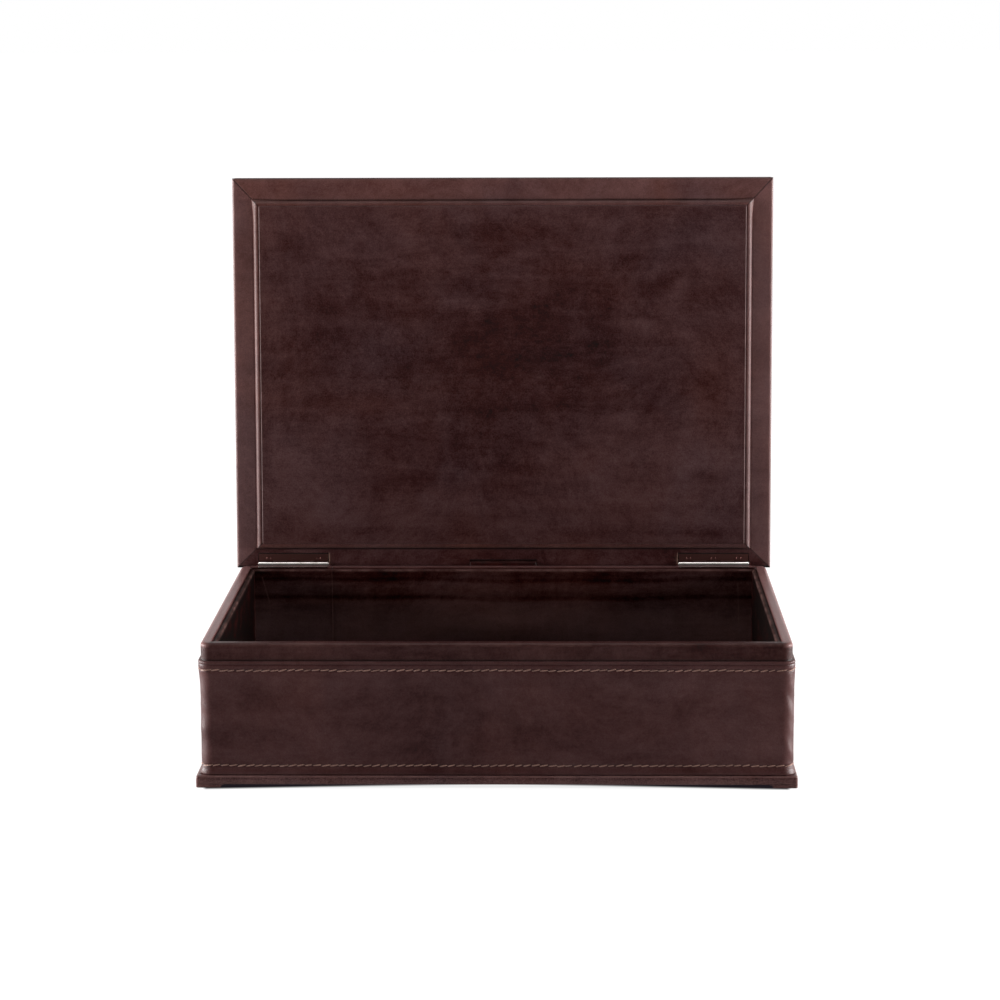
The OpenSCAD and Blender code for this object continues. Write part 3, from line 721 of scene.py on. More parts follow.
def loft(rings, joined):
    # A surface through rings of points; the last meets the first, or both ends are capped.
    stations, around = rings.shape[:2]
    faces = gridQuads(stations, around, wrapRows=joined, wrapColumns=True).tolist()
    if not joined:
        faces.append(list(range(around)))
        faces.append(list(range((stations - 1) * around, stations * around))[::-1])
    return rings.reshape(-1, 3), faces


def arc(middle, radius, start, end, steps):
    # Points round a circle from one angle to another, in degrees.
    a = np.radians(np.linspace(start, end, steps + 1))
    return np.stack([middle[0] + radius * np.cos(a), middle[1] + radius * np.sin(a)], -1)


def wallPath(step, cornerSteps, rearExtra=()):
    # Once round the walls, anticlockwise from the front left corner's end.
    # Gives places, outward normals, the distance walked and the whole length.
    width, depth, radius = (sizes[k] for k in ("coreWidth", "coreDepth", "coreRadius"))
    straightX, straightY = width / 2 - radius, depth / 2 - radius
    xs, ys = spread(-straightX, straightX, step), spread(-straightY, straightY, step)
    rear = spread(-straightX, straightX, step, rearExtra)[::-1]
    turns = np.radians(np.linspace(0, 90, cornerSteps + 1))[1:-1]
    places, normals = [], []

    def side(along, fixed, normal, vertical):
        # A straight run: one coordinate is held and the normal is the same all along.
        held = np.full(len(along), fixed)
        places.append(np.stack([held, along] if vertical else [along, held], -1))
        normals.append(np.tile(np.array(normal, float), (len(along), 1)))

    def corner(cx, cy, start):
        # A quarter turn: centre plus radius times the normal.
        n = np.stack([np.cos(turns + start), np.sin(turns + start)], -1)
        places.append(np.array([cx, cy]) + radius * n)
        normals.append(n)

    side(xs, -depth / 2, (0, -1), False)
    corner(straightX, -straightY, -math.pi / 2)
    side(ys, width / 2, (1, 0), True)
    corner(straightX, straightY, 0)
    side(rear, depth / 2, (0, 1), False)
    corner(-straightX, straightY, math.pi / 2)
    side(ys[::-1], -width / 2, (-1, 0), True)
    corner(-straightX, -straightY, math.pi)
    place, normal = np.concatenate(places), np.concatenate(normals)
    gaps = np.linalg.norm(np.diff(place, axis=0, append=place[:1]), axis=1)
    return place, normal, np.concatenate([[0], np.cumsum(gaps)[:-1]]), gaps.sum()


def roundOff(distance, radius):
    # How far a round edge drops back at a distance from its end: r - sqrt(r^2 - (r - distance)^2), 0 past r.
    e = np.clip(radius - distance, 0, radius)
    return radius - np.sqrt(np.maximum(radius ** 2 - e ** 2, 0))


def carried(place, normal, out, height):
    # Points at a distance out along each station's normal, at their heights; out and height are grids.
    xy = place[:, None, :] + normal[:, None, :] * out[..., None]
    return np.concatenate([xy, height[..., None]], -1)


# The stitched band.

band = dict(
    thickness=2.9, edgeRadius=0.8, drawIn=0.74, drawInSide=0.30, drawLow=(7.5, 11.0), drawHigh=(70.0, 56.0),
    flare=0.9, flareHeight=1.6, pitch=4.8, rowInset=5.1, lowerRaise=0.5, dimple=0.26, dimpleWidth=1.1,
    channel=0.16, channelWidth=0.75, creaseBelow=1.9, creaseDepth=0.20, creaseWidth=0.32, waveHeight=0.10,
    cornerFold=0.34, cornerLift=0.25,
)
# Spots on the band's front (across, up, half length, half width, slope, strength). The first, broad one
# darkens the middle as painted shade, where the side light falls off; the rest are the leather's own patches.
bandTone = [
    (0.0, 40.0, 95.0, 40.0, 0, -0.12), (-138.0, 56.0, 16.0, 5.0, -12, -0.12),
    (-143.0, 48.0, 7.0, 6.0, 30, -0.10), (-128.0, 60.0, 6.0, 1.6, 35, 0.10),
    (-100.0, 25.0, 45.0, 14.0, 4, 0.06), (118.0, 49.0, 26.0, 5.0, 0, -0.08),
    (95.0, 60.0, 32.0, 4.0, 0, 0.07), (40.0, 30.0, 30.0, 8.0, -6, -0.06), (150.0, 26.0, 14.0, 12.0, 0, 0.06),
    (-60.0, 52.0, 24.0, 5.0, 8, -0.06), (20.0, 57.0, 35.0, 3.0, 0, 0.05),
]
stitch = dict(length=4.85, radius=0.43, slant=0.44, proud=0.30, sink=0.55, wander=0.16, seed=5, rings=7)


def cornerShare(nx, ny):
    # 1 in the middle of a corner's turn, 0 along the sides: (2 nx ny)^2.
    return clip01(4 * (nx * ny) ** 2)


def bandFace(z, walked, normal):
    # How far the band's face stands out: full above and below, drawn in between, flared at its foot on the
    # right, with folds at the corners and slow waves along the sides.
    nx, ny = normal[..., 0], normal[..., 1]
    inward = band["drawIn"] - band["drawInSide"] * nx
    hold = smoothStep(*band["drawLow"], z) * smoothStep(*band["drawHigh"], z)
    out = band["thickness"] - inward * hold
    out = out + band["flare"] * clip01(nx) * np.exp(-(z - sizes["wallFoot"]) / band["flareHeight"])
    atCorner = cornerShare(nx, ny) ** 0.5
    folds = ripple(z + 9 * nx + 4 * ny, (0.6, 21.0, 0.7), (0.5, 12.5, 2.1), (0.25, 7.3, 0.4))
    calm = smoothStep(8.0, 16.0, z) * smoothStep(73.0, 63.0, z)
    out = out + band["cornerFold"] * atCorner * calm * folds
    out = out + band["cornerLift"] * atCorner * smoothStep(70.5, 73.4, z) * clip01(nx)
    slow = ripple(walked, (0.5, 173.0, 0.3), (0.35, 71.0, 1.9), (0.2, 33.0, 4.0))
    slow = slow * ripple(z, (1.0, 95.0, 0.6))
    return out + band["waveHeight"] * calm * slow * (1 - atCorner)


def rowHeight(row, walked):
    # A row of stitches wanders a little, as hand work does.
    inset = band["rowInset"]
    base = sizes["wallFoot"] + inset + band["lowerRaise"] if row == 0 else sizes["bandTop"] - inset
    return base + stitch["wander"] * ripple(walked, (0.8, 58.0, 1.0 + row), (0.5, 23.0, 2.0 * row))


def buildBand():
    # A section with eased edges, carried round the walls; the thread pulls a dimple at every hole.
    place, normal, walked, length = wallPath(1.2, 10)
    pitchCount = round(length / band["pitch"])
    low, high, r = sizes["wallFoot"], sizes["bandTop"], band["edgeRadius"]
    crease = high - band["creaseBelow"]
    zs = [np.linspace(low + r, high - r, 27), np.linspace(crease - 0.7, crease + 0.7, 7)]
    zs += [np.linspace(z - 2.4, z + 2.4, 13) for z in (low + band["rowInset"], high - band["rowInset"])]
    zs = np.unique(np.round(np.concatenate(zs), 3))
    zs = zs[np.concatenate([[True], np.diff(zs) > 0.12])]
    foot, top = arc((0, low + r), r, -90, 0, 4)[:-1], arc((0, high - r), r, 0, 90, 4)[1:]
    z = np.concatenate([foot[:, 1], zs, top[:, 1]])
    easing = np.concatenate([foot[:, 0] - r, np.zeros(len(zs)), top[:, 0] - r])
    grid = np.broadcast_to(z, (len(place), len(z)))
    out = bandFace(grid, walked[:, None], normal[:, None, :]) + easing
    phase = 2 * math.pi * walked[:, None] / length * pitchCount
    lines = [rowHeight(row, walked)[:, None] for row in (0, 1)]
    for line in lines:
        out = out - band["channel"] * bump(grid, line, band["channelWidth"])
        out = out - band["dimple"] * bump(grid, line, band["dimpleWidth"]) * (0.5 + 0.5 * np.cos(phase)) ** 2
    out = out - band["creaseDepth"] * bump(grid, crease, band["creaseWidth"])
    inner = np.zeros((len(place), 1))
    out = np.concatenate([inner, out, inner], 1)
    grid = np.concatenate([inner + low, grid, inner + high], 1)
    points, faces = loft(carried(place, normal, out, grid), True)
    edges = np.maximum(0.6 * smoothStep(high - 1.4, high - 0.3, grid), 0.5 * smoothStep(low + 1.2, low, grid))
    edges = clip01(edges + 0.25 * cornerShare(normal[:, :1], normal[:, 1:]))
    atFront = clip01(-normal[:, 1:])
    tone = atFront * marks(place[:, :1], grid, bandTone)
    # dark: the pressed crease and the stitch rows darker, and a painted shade along the band's foot where it
    # meets the plinth.
    dark = 0.40 * (bump(grid, crease, 0.35) + sum(bump(grid, line, 0.6) for line in lines))
    dark = clip01(dark + 0.9 * smoothStep(low + 0.55, low, grid))
    makePiece("stitchedBand", placed(points), faces, "box", ["leather_band"], "leather", "outerLeather",
              edge=edges, tone=tone, dark=dark)
    return pitchCount, place, normal, walked, length


def buildStitches(row, count, place, normal, walked, length):
    # Each stitch rises from one hole and dives into the next, a little slanted; a ring is a squashed hexagon.
    rng = np.random.default_rng(stitch["seed"] + row)
    t = np.linspace(0, 1, stitch["rings"])
    start = (np.arange(count) + 0.5) * length / count - stitch["length"] / 2
    reach = stitch["length"] * (1 + 0.06 * rng.standard_normal(count))
    s = (start[:, None] + t * reach[:, None]) % length
    lap = np.concatenate([walked, [length]])
    looped = [np.concatenate([a, a[:1]]) for a in (place[:, 0], place[:, 1], normal[:, 0], normal[:, 1])]
    px, py, nx, ny = (np.interp(s, lap, a) for a in looped)
    z = rowHeight(row, s) + stitch["slant"] * (2 * t - 1) * (1 + 0.25 * rng.standard_normal((count, 1)))
    z = z + 0.07 * rng.standard_normal((count, 1))
    face = bandFace(z, s, np.stack([nx, ny], -1))
    rise = np.sin(math.pi * t) ** 0.7
    out = face - stitch["sink"] + (stitch["sink"] + stitch["proud"] - stitch["radius"]) * rise
    out = out + 0.04 * rng.standard_normal((count, 1))
    radius = stitch["radius"] * (0.62 + 0.38 * rise) * (1 + 0.06 * rng.standard_normal((count, 1)))
    a = np.radians(np.arange(6) * 60.0)
    lift, side = np.cos(a) * 0.85, np.sin(a)
    o = out[..., None] + radius[..., None] * lift
    points = np.stack([px[..., None] + nx[..., None] * o, py[..., None] + ny[..., None] * o,
                       z[..., None] + radius[..., None] * side], -1)
    rings = len(t)
    quads = gridQuads(rings, 6, wrapColumns=True)
    first = np.arange(count)[:, None, None] * rings * 6
    faces = (first + quads).reshape(-1, 4).tolist()
    caps = np.arange(count)[:, None] * rings * 6
    faces += (caps + np.arange(6)).tolist() + (caps + (rings - 1) * 6 + np.arange(6)[::-1]).tolist()
    uv = np.stack(np.broadcast_arrays(t[None, :, None] + np.arange(count)[:, None, None] * 0.37,
                                      np.arange(6)[None, None, :] / 6), -1)
    name, node = (("lowerStitches", "lower_stitching"), ("upperStitches", "upper_stitching"))[row]
    makePiece(name, placed(points), faces, "box", [node], "thread", "thread", sharp=75, uv=uv)


stitchCount, *bandPath = buildBand()
for rowNumber in (0, 1):
    buildStitches(rowNumber, stitchCount, *bandPath)
print("band and", 2 * stitchCount, "stitches ready")


# The plinth and its feet.

plinth = dict(corner=1.5, topRadius=1.2, footRadius=0.45, footHeight=2.0, footLength=14.0, bow=0.10)


def buildPlinth():
    # Eased top edge; its long faces are very slightly hollow, as hand-planed wood under leather is.
    low, high, r = plinth["footHeight"], sizes["wallFoot"], plinth["topRadius"]
    easing = arc((r, high - r), r, 90, 180, 5)
    foot = arc((plinth["footRadius"], low + plinth["footRadius"]), plinth["footRadius"], 180, 270, 3)
    profile = withMasks(easing, (0.1, 0.5, 0.9, 0.8, 0.3, 0.0))
    profile += [(0.0, z, 0.0) for z in (5.0, 4.2)] + [(x, z, 0.3) for x, z in foot]
    width, depth = sizes["plinthWidth"], sizes["plinthDepth"]
    points, faces, mask, level = slab(width, depth, plinth["corner"], profile, 6.0)
    along = ripple(points[:, 0], (1.0, 210.0, 0.4), (0.5, 83.0, 1.0))
    onFace = np.abs(points[:, 1]) > depth / 2 - 1
    points[:, 1] -= np.sign(points[:, 1]) * onFace * plinth["bow"] * (0.8 + 0.2 * along)
    makePiece("plinthBoard", placed(points), faces, "box", ["plinth"], "leather", "plinthLeather", edge=mask,
              tone=-0.22 * (level == 5) - 0.14 * (level == 6))


def buildFoot(name, sideX, sideY):
    # A square block at the corner; its two inner faces spread upwards in a quarter-round hollow.
    h, r = plinth["footHeight"], plinth["footRadius"]
    zs = np.concatenate([arc((0, r), r, -90, 0, 3)[:, 1], np.linspace(r, h, 7)[1:]])
    reach = plinth["footLength"] + h - np.sqrt(h * h - zs * zs)
    square = [(2, 0), (3, 0), (3, 1), (3, 2), (3, 3), (2, 3), (1, 3), (0, 3), (0, 2)]
    unit = np.concatenate([arc((1, 1), 1, 180, 270, 6), square])
    rings = []
    for z, s, far in zip(zs, roundOff(zs, r), reach):
        along = [s, plinth["corner"], far * 0.6, far - s]
        x, y = (half - np.interp(unit[:, k], range(4), along) for k, half in enumerate(
            (sizes["plinthWidth"] / 2, sizes["plinthDepth"] / 2)))
        rings.append(np.stack([sideX * x, sideY * y, np.full(len(x), z)], -1))
    rings = np.stack(rings)
    points, faces = loft(rings, False)
    edge = np.repeat(np.where(zs < r, 0.8, 0.2), len(unit))
    makePiece(name + "Piece", placed(points), faces, "box", [name], "leather", "plinthLeather",
              sharp=50, edge=edge)


buildPlinth()
for nameX, sideX in (("left", -1), ("right", 1)):
    for nameY, sideY in (("front", -1), ("rear", 1)):
        buildFoot(f"{nameY}_{nameX}_foot", sideX, sideY)
print("plinth and feet ready")


# The collar and the lined walls.

collar = dict(
    out=1.38, topRadius=2.2, innerRadius=0.55, turnIn=8.0, wallIn=5.0, seamX=-110.0, seamDepth=0.32,
    faceWave=0.10, topSag=0.10, rearPaintedLight=1.3, sidePaintedHighlight=3.0,
)
hingeRoom = dict(barrel=2.45, barrelLength=45.2, leafLift=0.17, leafHalf=23.0)


def buildCollar():
    # Leather up the collar's face, over its top and down inside; a joint in it shows at the back.
    c = collar
    top, r, foot = sizes["rimTop"], c["topRadius"], sizes["bandTop"]
    seam = c["seamX"]
    extra = [seam + d for d in (-0.9, -0.5, -0.25, 0, 0.25, 0.5, 0.9)]
    beside = bothSides([hingeRoom["leafHalf"] + e for e in (0, 0.4, 0.8, 1.2, 1.6)])
    extra += bothSides([sizes["hingeX"] + d for d in beside])
    place, normal, walked = wallPath(4.0, 8, extra)[:3]
    inner = -c["wallIn"]
    face = np.stack([np.full(12, c["out"]), np.linspace(foot, top - r, 12)], -1)
    bend = arc((c["out"] - r, top - r), r, 0, 90, 7)[1:]
    flat = np.stack([np.linspace(c["out"] - r, inner + c["innerRadius"], 6), np.full(6, top)], -1)[1:]
    turn = arc((inner + c["innerRadius"], top - c["innerRadius"]), c["innerRadius"], 90, 180, 4)[1:]
    down = np.stack([np.full(5, inner), np.linspace(top - c["innerRadius"], top - c["turnIn"], 5)], -1)[1:]
    below = np.array([(inner + 1, top - c["turnIn"]), (inner + 1, top - 1), (c["out"] - r, top - 1)])
    under = np.concatenate([arc((c["out"] - r, top - r), r - 1, 90, 0, 4)[1:], [(c["out"] - 1, foot)]])
    section = np.concatenate([face, bend, flat, turn, down, below, under])
    shown = len(face) + len(bend) + len(flat) + len(turn) + len(down)
    out = np.tile(section[:, 0], (len(place), 1))
    z = np.tile(section[:, 1], (len(place), 1))
    isShown = np.arange(len(section)) < shown
    isFlat = isShown & (section[:, 0] < c["out"] - 0.5) & (section[:, 0] > inner + 0.1)
    isFace = isShown & (section[:, 0] > c["out"] - 0.01) & (section[:, 1] > foot + 0.01)
    sag = 0.5 + 0.5 * ripple(walked, (0.6, 97.0, 0.5), (0.4, 41.0, 2.2))[:, None]
    overLeaf = smoothStep(1.6, 0.0, np.abs(np.abs(place[:, 0]) - sizes["hingeX"]) - hingeRoom["leafHalf"])
    overLeaf = (overLeaf * (normal[:, 1] > 0.99))[:, None] * smoothStep(inner, inner + 2.0, section[:, 0])
    z = z - isFlat * (c["topSag"] * sag * (1 - overLeaf) - hingeRoom["leafLift"] * overLeaf)
    wave = ripple(walked, (0.5, 120.0, 1.1), (0.3, 47.0, 0.2))[:, None]
    wave = wave * ripple(section[:, 1], (1.0, 24.0, 0.8))
    out = out - isFace * c["faceWave"] * (0.5 + 0.5 * wave)
    atRear = normal[:, 1] > 0.99
    cut = (atRear * bump(place[:, 0], seam, 0.28))[:, None]
    z = z - isFlat * cut * c["seamDepth"]
    out = out + (section[:, 0] <= inner + 0.1) * isShown * cut * 0.25
    edge = bump(section[:, 0], c["out"] - 0.6, 0.8) * (section[:, 1] > top - r)
    edge = edge + 0.3 * bump(section[:, 0], inner, 0.4) * (section[:, 1] > top - 2)
    edge = np.tile(clip01(edge * isShown), (len(place), 1))
    points, faces = loft(carried(place, normal, out, z), True)
    # dark: a painted shade along the collar face's foot where it meets the band, and the joint at the back.
    dark = clip01(0.8 * smoothStep(foot + 1.3, foot + 0.2, z) * (out > 0.2) + 0.75 * cut * isShown)
    isBend = isShown & (section[:, 1] > top - r - 0.01) & (section[:, 0] > c["out"] - r + 0.3)
    onTop = isFlat | isBend
    # The tone paints light on the collar's top: lighter on the rear flat, as if lit from above, and much
    # lighter over the sides' tops and rounded edges, a painted highlight for their glancing reflection.
    tone = c["rearPaintedLight"] * atRear[:, None] * isFlat + c["sidePaintedHighlight"] * np.abs(normal[:, :1]) * onTop
    piece = makePiece("collarLeather", placed(points), faces, "box", ["rim_leather"], "leather",
                      "collarLeather", edge=edge, dark=dark, tone=tone)
    cutAway(piece, [hingeCutter(side) for side in (-1, 1)])


def hingeCutter(side):
    # The room for one hinge's barrel; the leaf lies under the leather.
    y, z = sizes["hingeAxis"]
    r = hingeRoom
    x = side * sizes["hingeX"]
    a = np.radians(np.arange(48) * 7.5)
    ends = np.array([x - r["barrelLength"] / 2, x + r["barrelLength"] / 2])
    circle = y + r["barrel"] * np.cos(a), z + r["barrel"] * np.sin(a)
    bar = np.stack(np.broadcast_arrays(ends[:, None], *circle), -1)
    points, faces = loft(bar, False)
    return placed(points), faces


def cutAway(piece, cutters):
    # Takes each cutter out of the piece with an exact boolean, then keeps the result as its mesh.
    made = []
    for points, faces in cutters:
        data = bpy.data.meshes.new("cutter")
        data.from_pydata(points.tolist(), [], [tuple(f) for f in faces])
        shell = bmesh.new()
        shell.from_mesh(data)
        bmesh.ops.recalc_face_normals(shell, faces=shell.faces)
        shell.to_mesh(data)
        shell.free()
        cutter = addObject("cutter", data)
        step = piece.modifiers.new("cut", "BOOLEAN")
        step.operation, step.solver, step.object = "DIFFERENCE", "EXACT", cutter
        made.append(cutter)
    bpy.context.view_layer.update()
    result = bpy.data.meshes.new_from_object(piece.evaluated_get(bpy.context.evaluated_depsgraph_get()))
    piece.modifiers.clear()
    piece.data = result
    result.set_sharp_from_angle(angle=math.radians(38))
    for cutter in made:
        bpy.data.objects.remove(cutter)


liner = dict(
    thickness=3.0, topRadius=1.2, endRadius=0.8,
    creases=((75.7, 1.9, 0.55), (63.9, 2.0, 0.60), (52.0, 6.0, 0.20)), seamX=-110.0, seamProud=0.16,
    sideWave=0.18, sidePaintedShade=0.72, lowPaintedLight=1.1,
)
# Spots on the rear liner (across, up, half length, half width, slope, strength). The long dark lines along
# the two creases and under the collar are painted shade, and the light bands between the creases painted
# light; the rest are the leather's own patches.
linerTone = [
    (0.0, 75.7, 400.0, 1.5, 0.0, -0.42), (0.0, 63.9, 400.0, 1.6, 0.0, -0.42),
    (20.0, 70.0, 120.0, 3.0, 0.0, 0.14), (100.0, 70.5, 40.0, 2.6, 1.5, 0.20),
    (-90.0, 66.0, 28.0, 2.0, 0.0, 0.12), (-135.0, 45.0, 18.0, 14.0, 20, -0.18),
    (60.0, 48.0, 60.0, 8.0, 0.0, 0.08), (130.0, 54.0, 22.0, 8.0, -8, 0.12),
    (0.0, 80.5, 400.0, 3.0, 0.0, -0.22),
]
linerBlush = [(40.0, 69.0, 110.0, 4.0, 0, 0.7), (-120.0, 63.0, 20.0, 3.0, 0, 0.9)]
linerLines = [
    # A thin line is (across, up) to (across, up), width, strength.
    ((-154.8, 77.5), (-150.6, 62.0), 0.35, 0.9), ((-150.6, 62.0), (-150.2, 50.0), 0.35, 0.6),
    ((-118.0, 72.5), (-106.0, 73.6), 0.5, 0.7), ((150.6, 74.0), (151.6, 40.0), 0.35, 0.8),
]


def strokes(across, up, lines):
    # Bell curve of each point's distance to each line.
    total = np.zeros(np.broadcast(across, up).shape)
    for (x0, y0), (x1, y1), width, strength in lines:
        dx, dy = x1 - x0, y1 - y0
        t = np.clip(((across - x0) * dx + (up - y0) * dy) / (dx * dx + dy * dy), 0, 1)
        gap = np.hypot(across - x0 - t * dx, up - y0 - t * dy)
        total = total + strength * np.exp(-(gap / width) ** 2)
    return total


def buildLiner(name, node, half, place, direction, inward, isRear, endEase):
    # A flat board with a round top edge, along a wall. Soft folds run across the rear one.
    v = liner
    t, r = v["thickness"], v["topRadius"]
    low, high = sizes["floorTop"], sizes["linerTop"]
    extra = [v["seamX"] + d for d in (-0.8, -0.4, -0.2, 0, 0.2, 0.4, 0.8)] if isRear else []
    extra += bothSides(np.arange(149.0, 156.0, 0.3)) if isRear else []
    ends = bothSides([half - e for e in (0.15, 0.35, 0.6, 0.9, 1.5)])
    along = spread(-half, half, 4.0, extra + ends)
    zs = spread(low, high - r, 0.8 if isRear else 1.6)
    face = np.stack([np.full(len(zs), t), zs], -1)
    bend = arc((t - r, high - r), r, 0, 90, 6)[1:]
    section = np.concatenate([face, bend, [(0, high), (0, low)]])
    out = np.tile(section[:, 0], (len(along), 1))
    z = np.tile(section[:, 1], (len(along), 1))
    isFace = (section[:, 0] > t - r - 0.01)[None, :]
    toEnd = half - np.abs(along)[:, None]
    if isRear:
        drift = ripple(along, (0.7, 260.0, 0.8), (0.4, 90.0, 2.0))[:, None]
        fade = 0.75 + 0.25 * ripple(along, (1.0, 140.0, 0.3))[:, None]
        for height, width, depth in v["creases"]:
            out = out - isFace * depth * fade * bump(z, height + drift, width)
        out = out + isFace * v["seamProud"] * bump(along, v["seamX"], 0.28)[:, None]
    else:
        wave = ripple(along, (0.5, 88.0, 0.9), (0.3, 37.0, 0.1))[:, None]
        wave = wave * ripple(z, (0.6, 61.0, 1.3), (0.4, 27.0, 0))
        out = out - isFace * v["sideWave"] * (0.5 + 0.5 * wave)
    if endEase:
        out = out - isFace * roundOff(toEnd, v["endRadius"])
    direction, inward = np.array(direction, float), np.array(inward, float)
    xy = np.array(place, float) + along[:, None, None] * direction + out[..., None] * inward
    points, faces = loft(np.concatenate([xy, z[..., None]], -1), False)
    edge = isFace * smoothStep(high - 1.6, high - 0.2, z)
    tone, dark, blush = np.zeros(out.shape), np.zeros(out.shape), np.zeros(out.shape)
    if isRear:
        edge = edge + 0.9 * isFace * bump(along, v["seamX"], 0.25)[:, None]
        edge = edge + isFace * strokes(along[:, None], z, linerLines)
        # lowPaintedLight lightens the rear liner towards the bottom as painted light.
        tone = marks(along[:, None], z + drift, linerTone) + v["lowPaintedLight"] * smoothStep(68.0, 44.0, z)
        tone = isFace * tone
        blush = isFace * marks(along[:, None], z, linerBlush)
        dark = 0.6 * isFace * bump(along, v["seamX"] + 1.1, 0.35)[:, None]
    if endEase:
        # The side liners are darkened as painted shade, and lightened just before their ends as a painted
        # highlight on the corners.
        tone = tone - v["sidePaintedShade"] + 0.5 * isFace * bump(toEnd, 2.0, 4.0)
        edge = edge + 0.9 * isFace * smoothStep(1.0, 0.2, toEnd)
    makePiece(name, placed(points), faces, "box", [node], "lining_leather", "innerLeather",
              edge=clip01(edge * np.ones(out.shape)), tone=tone, dark=clip01(dark), blush=blush)


floorPad = dict(thickness=1.5, edgeRadius=0.5, gap=0.3, dip=0.12)


def buildFloorLining():
    # A thin pad on the bottom with an eased edge and a barely uneven face.
    low, r = sizes["floorTop"], floorPad["edgeRadius"]
    high = low + floorPad["thickness"]
    profile = [(x, z, 0.0) for x, z in arc((r, high - r), r, 90, 180, 3)] + [(0, low, 0.0)]
    width, depth = (sizes[k] - 2 * floorPad["gap"] for k in ("mouthWidth", "mouthDepth"))
    points, faces, _, level = slab(width, depth, r, profile, 8.0, 2)
    wave = ripple(points[:, 0] + 0.6 * points[:, 1], (1.0, 118.0, 0.0))
    points[:, 2] -= (level == 0) * floorPad["dip"] * (0.5 + 0.5 * wave)
    makePiece("floorPad", placed(points), faces, "box", ["floor_lining"], "suede", "suede")


buildCollar()
roomX, roomY = sizes["roomWidth"] / 2, sizes["roomDepth"] / 2
buildLiner("rearLiner", "rear_liner", roomX, (0, roomY), (1, 0), (0, -1), True, False)
buildLiner("frontLiner", "front_liner", roomX, (0, -roomY), (1, 0), (0, 1), False, False)
buildLiner("leftLiner", "left_liner", sizes["mouthDepth"] / 2, (-roomX, 0), (0, 1), (1, 0), False, True)
buildLiner("rightLiner", "right_liner", sizes["mouthDepth"] / 2, (roomX, 0), (0, 1), (-1, 0), False, True)
buildFloorLining()
print("collar and linings ready")


# The stop pad.

stopPad = dict(width=42.6, near=121.5, thickness=3.0, foot=75.4, top=86.1, endRadius=0.6, tone=-0.35)


def buildStopPad():
    # A folded strip: flat against the collar, round over its top, its ends eased.
    v = stopPad
    r = v["thickness"] / 2
    middle = v["near"] + r
    cap = arc((middle, v["top"] - r), r, 0, 180, 10)
    section = np.concatenate([[(middle + r, v["foot"])], [(middle + r, v["foot"] + 4)], cap,
                              [(middle - r, v["foot"] + 4)], [(middle - r, v["foot"])]])
    half, e = v["width"] / 2, v["endRadius"]
    xs = np.concatenate([[-half, -half + 0.15, -half + 0.35], spread(-half + e, half - e, 3.0),
                         [half - 0.35, half - 0.15, half]])
    toEnd = half - np.abs(xs)
    shrink = roundOff(toEnd, e)
    scaleY = (1 - shrink / r)[:, None]
    y = middle + (section[:, 0] - middle) * scaleY
    z = np.where(section[:, 1] > v["foot"] + 5, section[:, 1] - shrink[:, None], section[:, 1])
    z = z + 0.05 * ripple(xs, (1.0, 19.0, 0.4))[:, None] * (section[:, 1] > v["foot"] + 5)
    rings = np.stack(np.broadcast_arrays(xs[:, None], y, z), -1)
    points, faces = loft(rings, False)
    edge = clip01(0.4 * (toEnd < 0.5)[:, None] * np.ones(y.shape) + 0.5 * bump(z, v["top"], 0.5))
    makePiece("stopPadLeather", placed(points), faces, "box", ["stop_pad"], "leather", "collarLeather",
              edge=edge, tone=v["tone"])


buildStopPad()


# The lid.

lid = dict(
    corner=1.5, topRadius=1.5, leather=1.0, crown=0.35, notchHalf=21.7, notchTop=86.75, notchFront=119.65,
    marginRadius=1.7, marginDrop=1.5, rearRadius=2.9, skirt=1.8, marginSink=0.12, seamRadius=0.5,
    hingeHalf=22.85, hingeFront=115.45, raisedEdge=3.0, raisedInset=0.45, gutter=0.45, panelRadius=0.70,
    rawLift=0.11, tent=1.3, tentReach=6.0, rimGap=0.03, innerGap=0.2, raisedTone=-0.15,
)


# Each strip's tone: the rear strip, low on the open lid, is darkened as painted shade where it faces the
# box's dark interior; the others differ a little.
marginTone = dict(front=-0.08, rear=-0.40, left=0.05, right=0.09)
marginBlush = dict(front=0.0, rear=-0.9, left=-0.6, right=-0.2)
# How much painted shade darkens each strip's inner edge, in the gap beside the raised board; it falls on the
# front and rear strips only.
innerPaintedShade = dict(front=0.5, rear=1.0, left=0.0, right=0.0)
scratches = [
    # Along the margin, across it, half length, half width, slope, strength; the front of the lid is at -125.
    (-78.0, 163.5, 20.0, 0.5, 1.0, 0.8), (-66.0, 165.2, 10.0, 0.45, -3.0, 0.7),
    (-90.0, 166.5, 14.0, 0.5, 2.0, 0.6), (-58.0, 162.6, 7.0, 0.4, 4.0, 0.6),
    (-100.0, 164.8, 8.0, 0.4, -2.0, 0.5),
]


